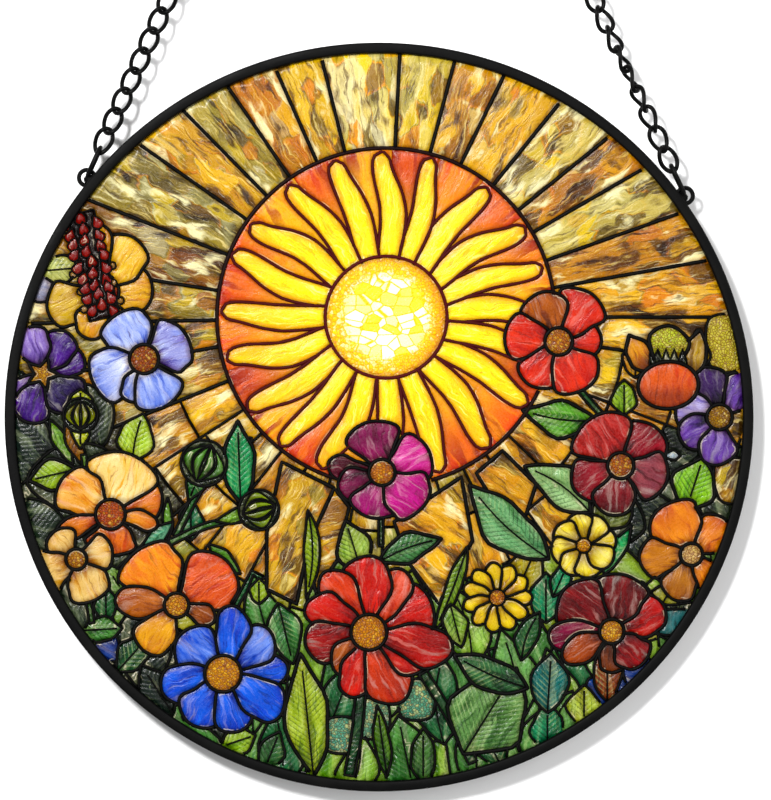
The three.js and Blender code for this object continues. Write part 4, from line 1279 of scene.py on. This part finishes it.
# name, colour, roughness, worn colour, scale of its patches
METALS = [
    ("lead_metal", (0.002, 0.002, 0.0018, 1), 0.38, (0.005, 0.0045, 0.004, 1), 260),
    ("rim_paint", (0.002, 0.002, 0.002, 1), 0.4, (0.004, 0.004, 0.0035, 1), 120),
    ("chain_paint", (0.003, 0.003, 0.003, 1), 0.22, (0.009, 0.0085, 0.0085, 1), 300),
]
lead_material, rim_material, chain_material = (metal_material(*row) for row in METALS)

# ---- the pieces ----

for host in sorted({pane["host"] for pane in panes}):
    piece = glass_piece(host, glass_materials)
    if piece:
        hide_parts(host)

leading_piece(lead_material)
rim_piece(rim_material)
for chain in CHAINS:
    for piece in chain_pieces(chain, chain_material):
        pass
ring_piece(chain_material)

# ---- stage, light and camera ----

WALL_GAP = 5.0
# Where the camera aims, in millimetres from the panel's middle, and its frame, in metres.
CAMERA_X, CAMERA_RISE = 1.74, 4.55
FRAME_WIDTH, CAMERA_DISTANCE = 0.2062, 1.6
# name, place from the panel's middle and diameter, in metres, power in watts
LIGHTS = [
    ("key", (-0.34, -1.15, 0.42), 0.2, 22),
    ("fill", (0.9, -1.1, 0.1), 1.2, 9),
    ("back", (0.2, 1.2, 0.6), 1.0, 10),
]
DAYLIGHT = 0.45


def wall():
    """A white wall just behind the panel. It is open from behind, so that the back can be looked at."""
    size, y = 3.0, RIM_HIGH.y + WALL_GAP * MM
    mesh = bpy.data.meshes.new("wall")
    corners = [(-size, y, -size), (size, y, -size), (size, y, size), (-size, y, size)]
    mesh.from_pydata(corners, [], [(0, 1, 2, 3)])
    t = Tree("wall_paint")
    paint = t.add("BsdfPrincipled", {"Base Color": (0.93, 0.93, 0.93, 1), "Roughness": 0.9})
    clear = t.add("BsdfTransparent")
    behind = t.add("NewGeometry").outputs["Backfacing"]
    either = t.add("MixShader", {0: behind, 1: paint.outputs[0], 2: clear.outputs[0]})
    t.add("OutputMaterial", {"Surface": either.outputs[0]})
    mesh.materials.append(t.material)
    made = bpy.data.objects.new("wall", mesh)
    bpy.context.scene.collection.objects.link(made)


def area_light(name, place, aim, size, power):
    data = bpy.data.lights.new(name, "AREA")
    data.shape, data.size, data.energy = "DISK", size, power
    light = bpy.data.objects.new(name, data)
    light.location = place
    light.rotation_euler = (aim - place).to_track_quat("-Z", "Y").to_euler()
    bpy.context.scene.collection.objects.link(light)


def camera():
    """Straight on, through a long lens, close enough to leave the ring out."""
    aim = Vector((CAMERA_X, 0, PICTURE_Z + CAMERA_RISE)) * MM
    data = bpy.data.cameras.new("camera")
    data.sensor_fit, data.sensor_width = "HORIZONTAL", 36
    data.lens = data.sensor_width * CAMERA_DISTANCE / FRAME_WIDTH
    made = bpy.data.objects.new("camera", data)
    made.location = aim + Vector((0, -CAMERA_DISTANCE, 0))
    made.rotation_euler = (math.pi / 2, 0, 0)
    bpy.context.scene.collection.objects.link(made)
    bpy.context.scene.camera = made


wall()
middle = Vector((0, 0, PICTURE_Z * MM))
for name, place, size, power in LIGHTS:
    area_light(name, middle + Vector(place), middle, size, power)
camera()
world = bpy.data.worlds.new("studio")
world.use_nodes = True
world.node_tree.nodes["Background"].inputs[0].default_value = (1, 1, 1, 1)
world.node_tree.nodes["Background"].inputs[1].default_value = DAYLIGHT
bpy.context.scene.view_settings.view_transform = "Standard"
bpy.context.scene.world = world
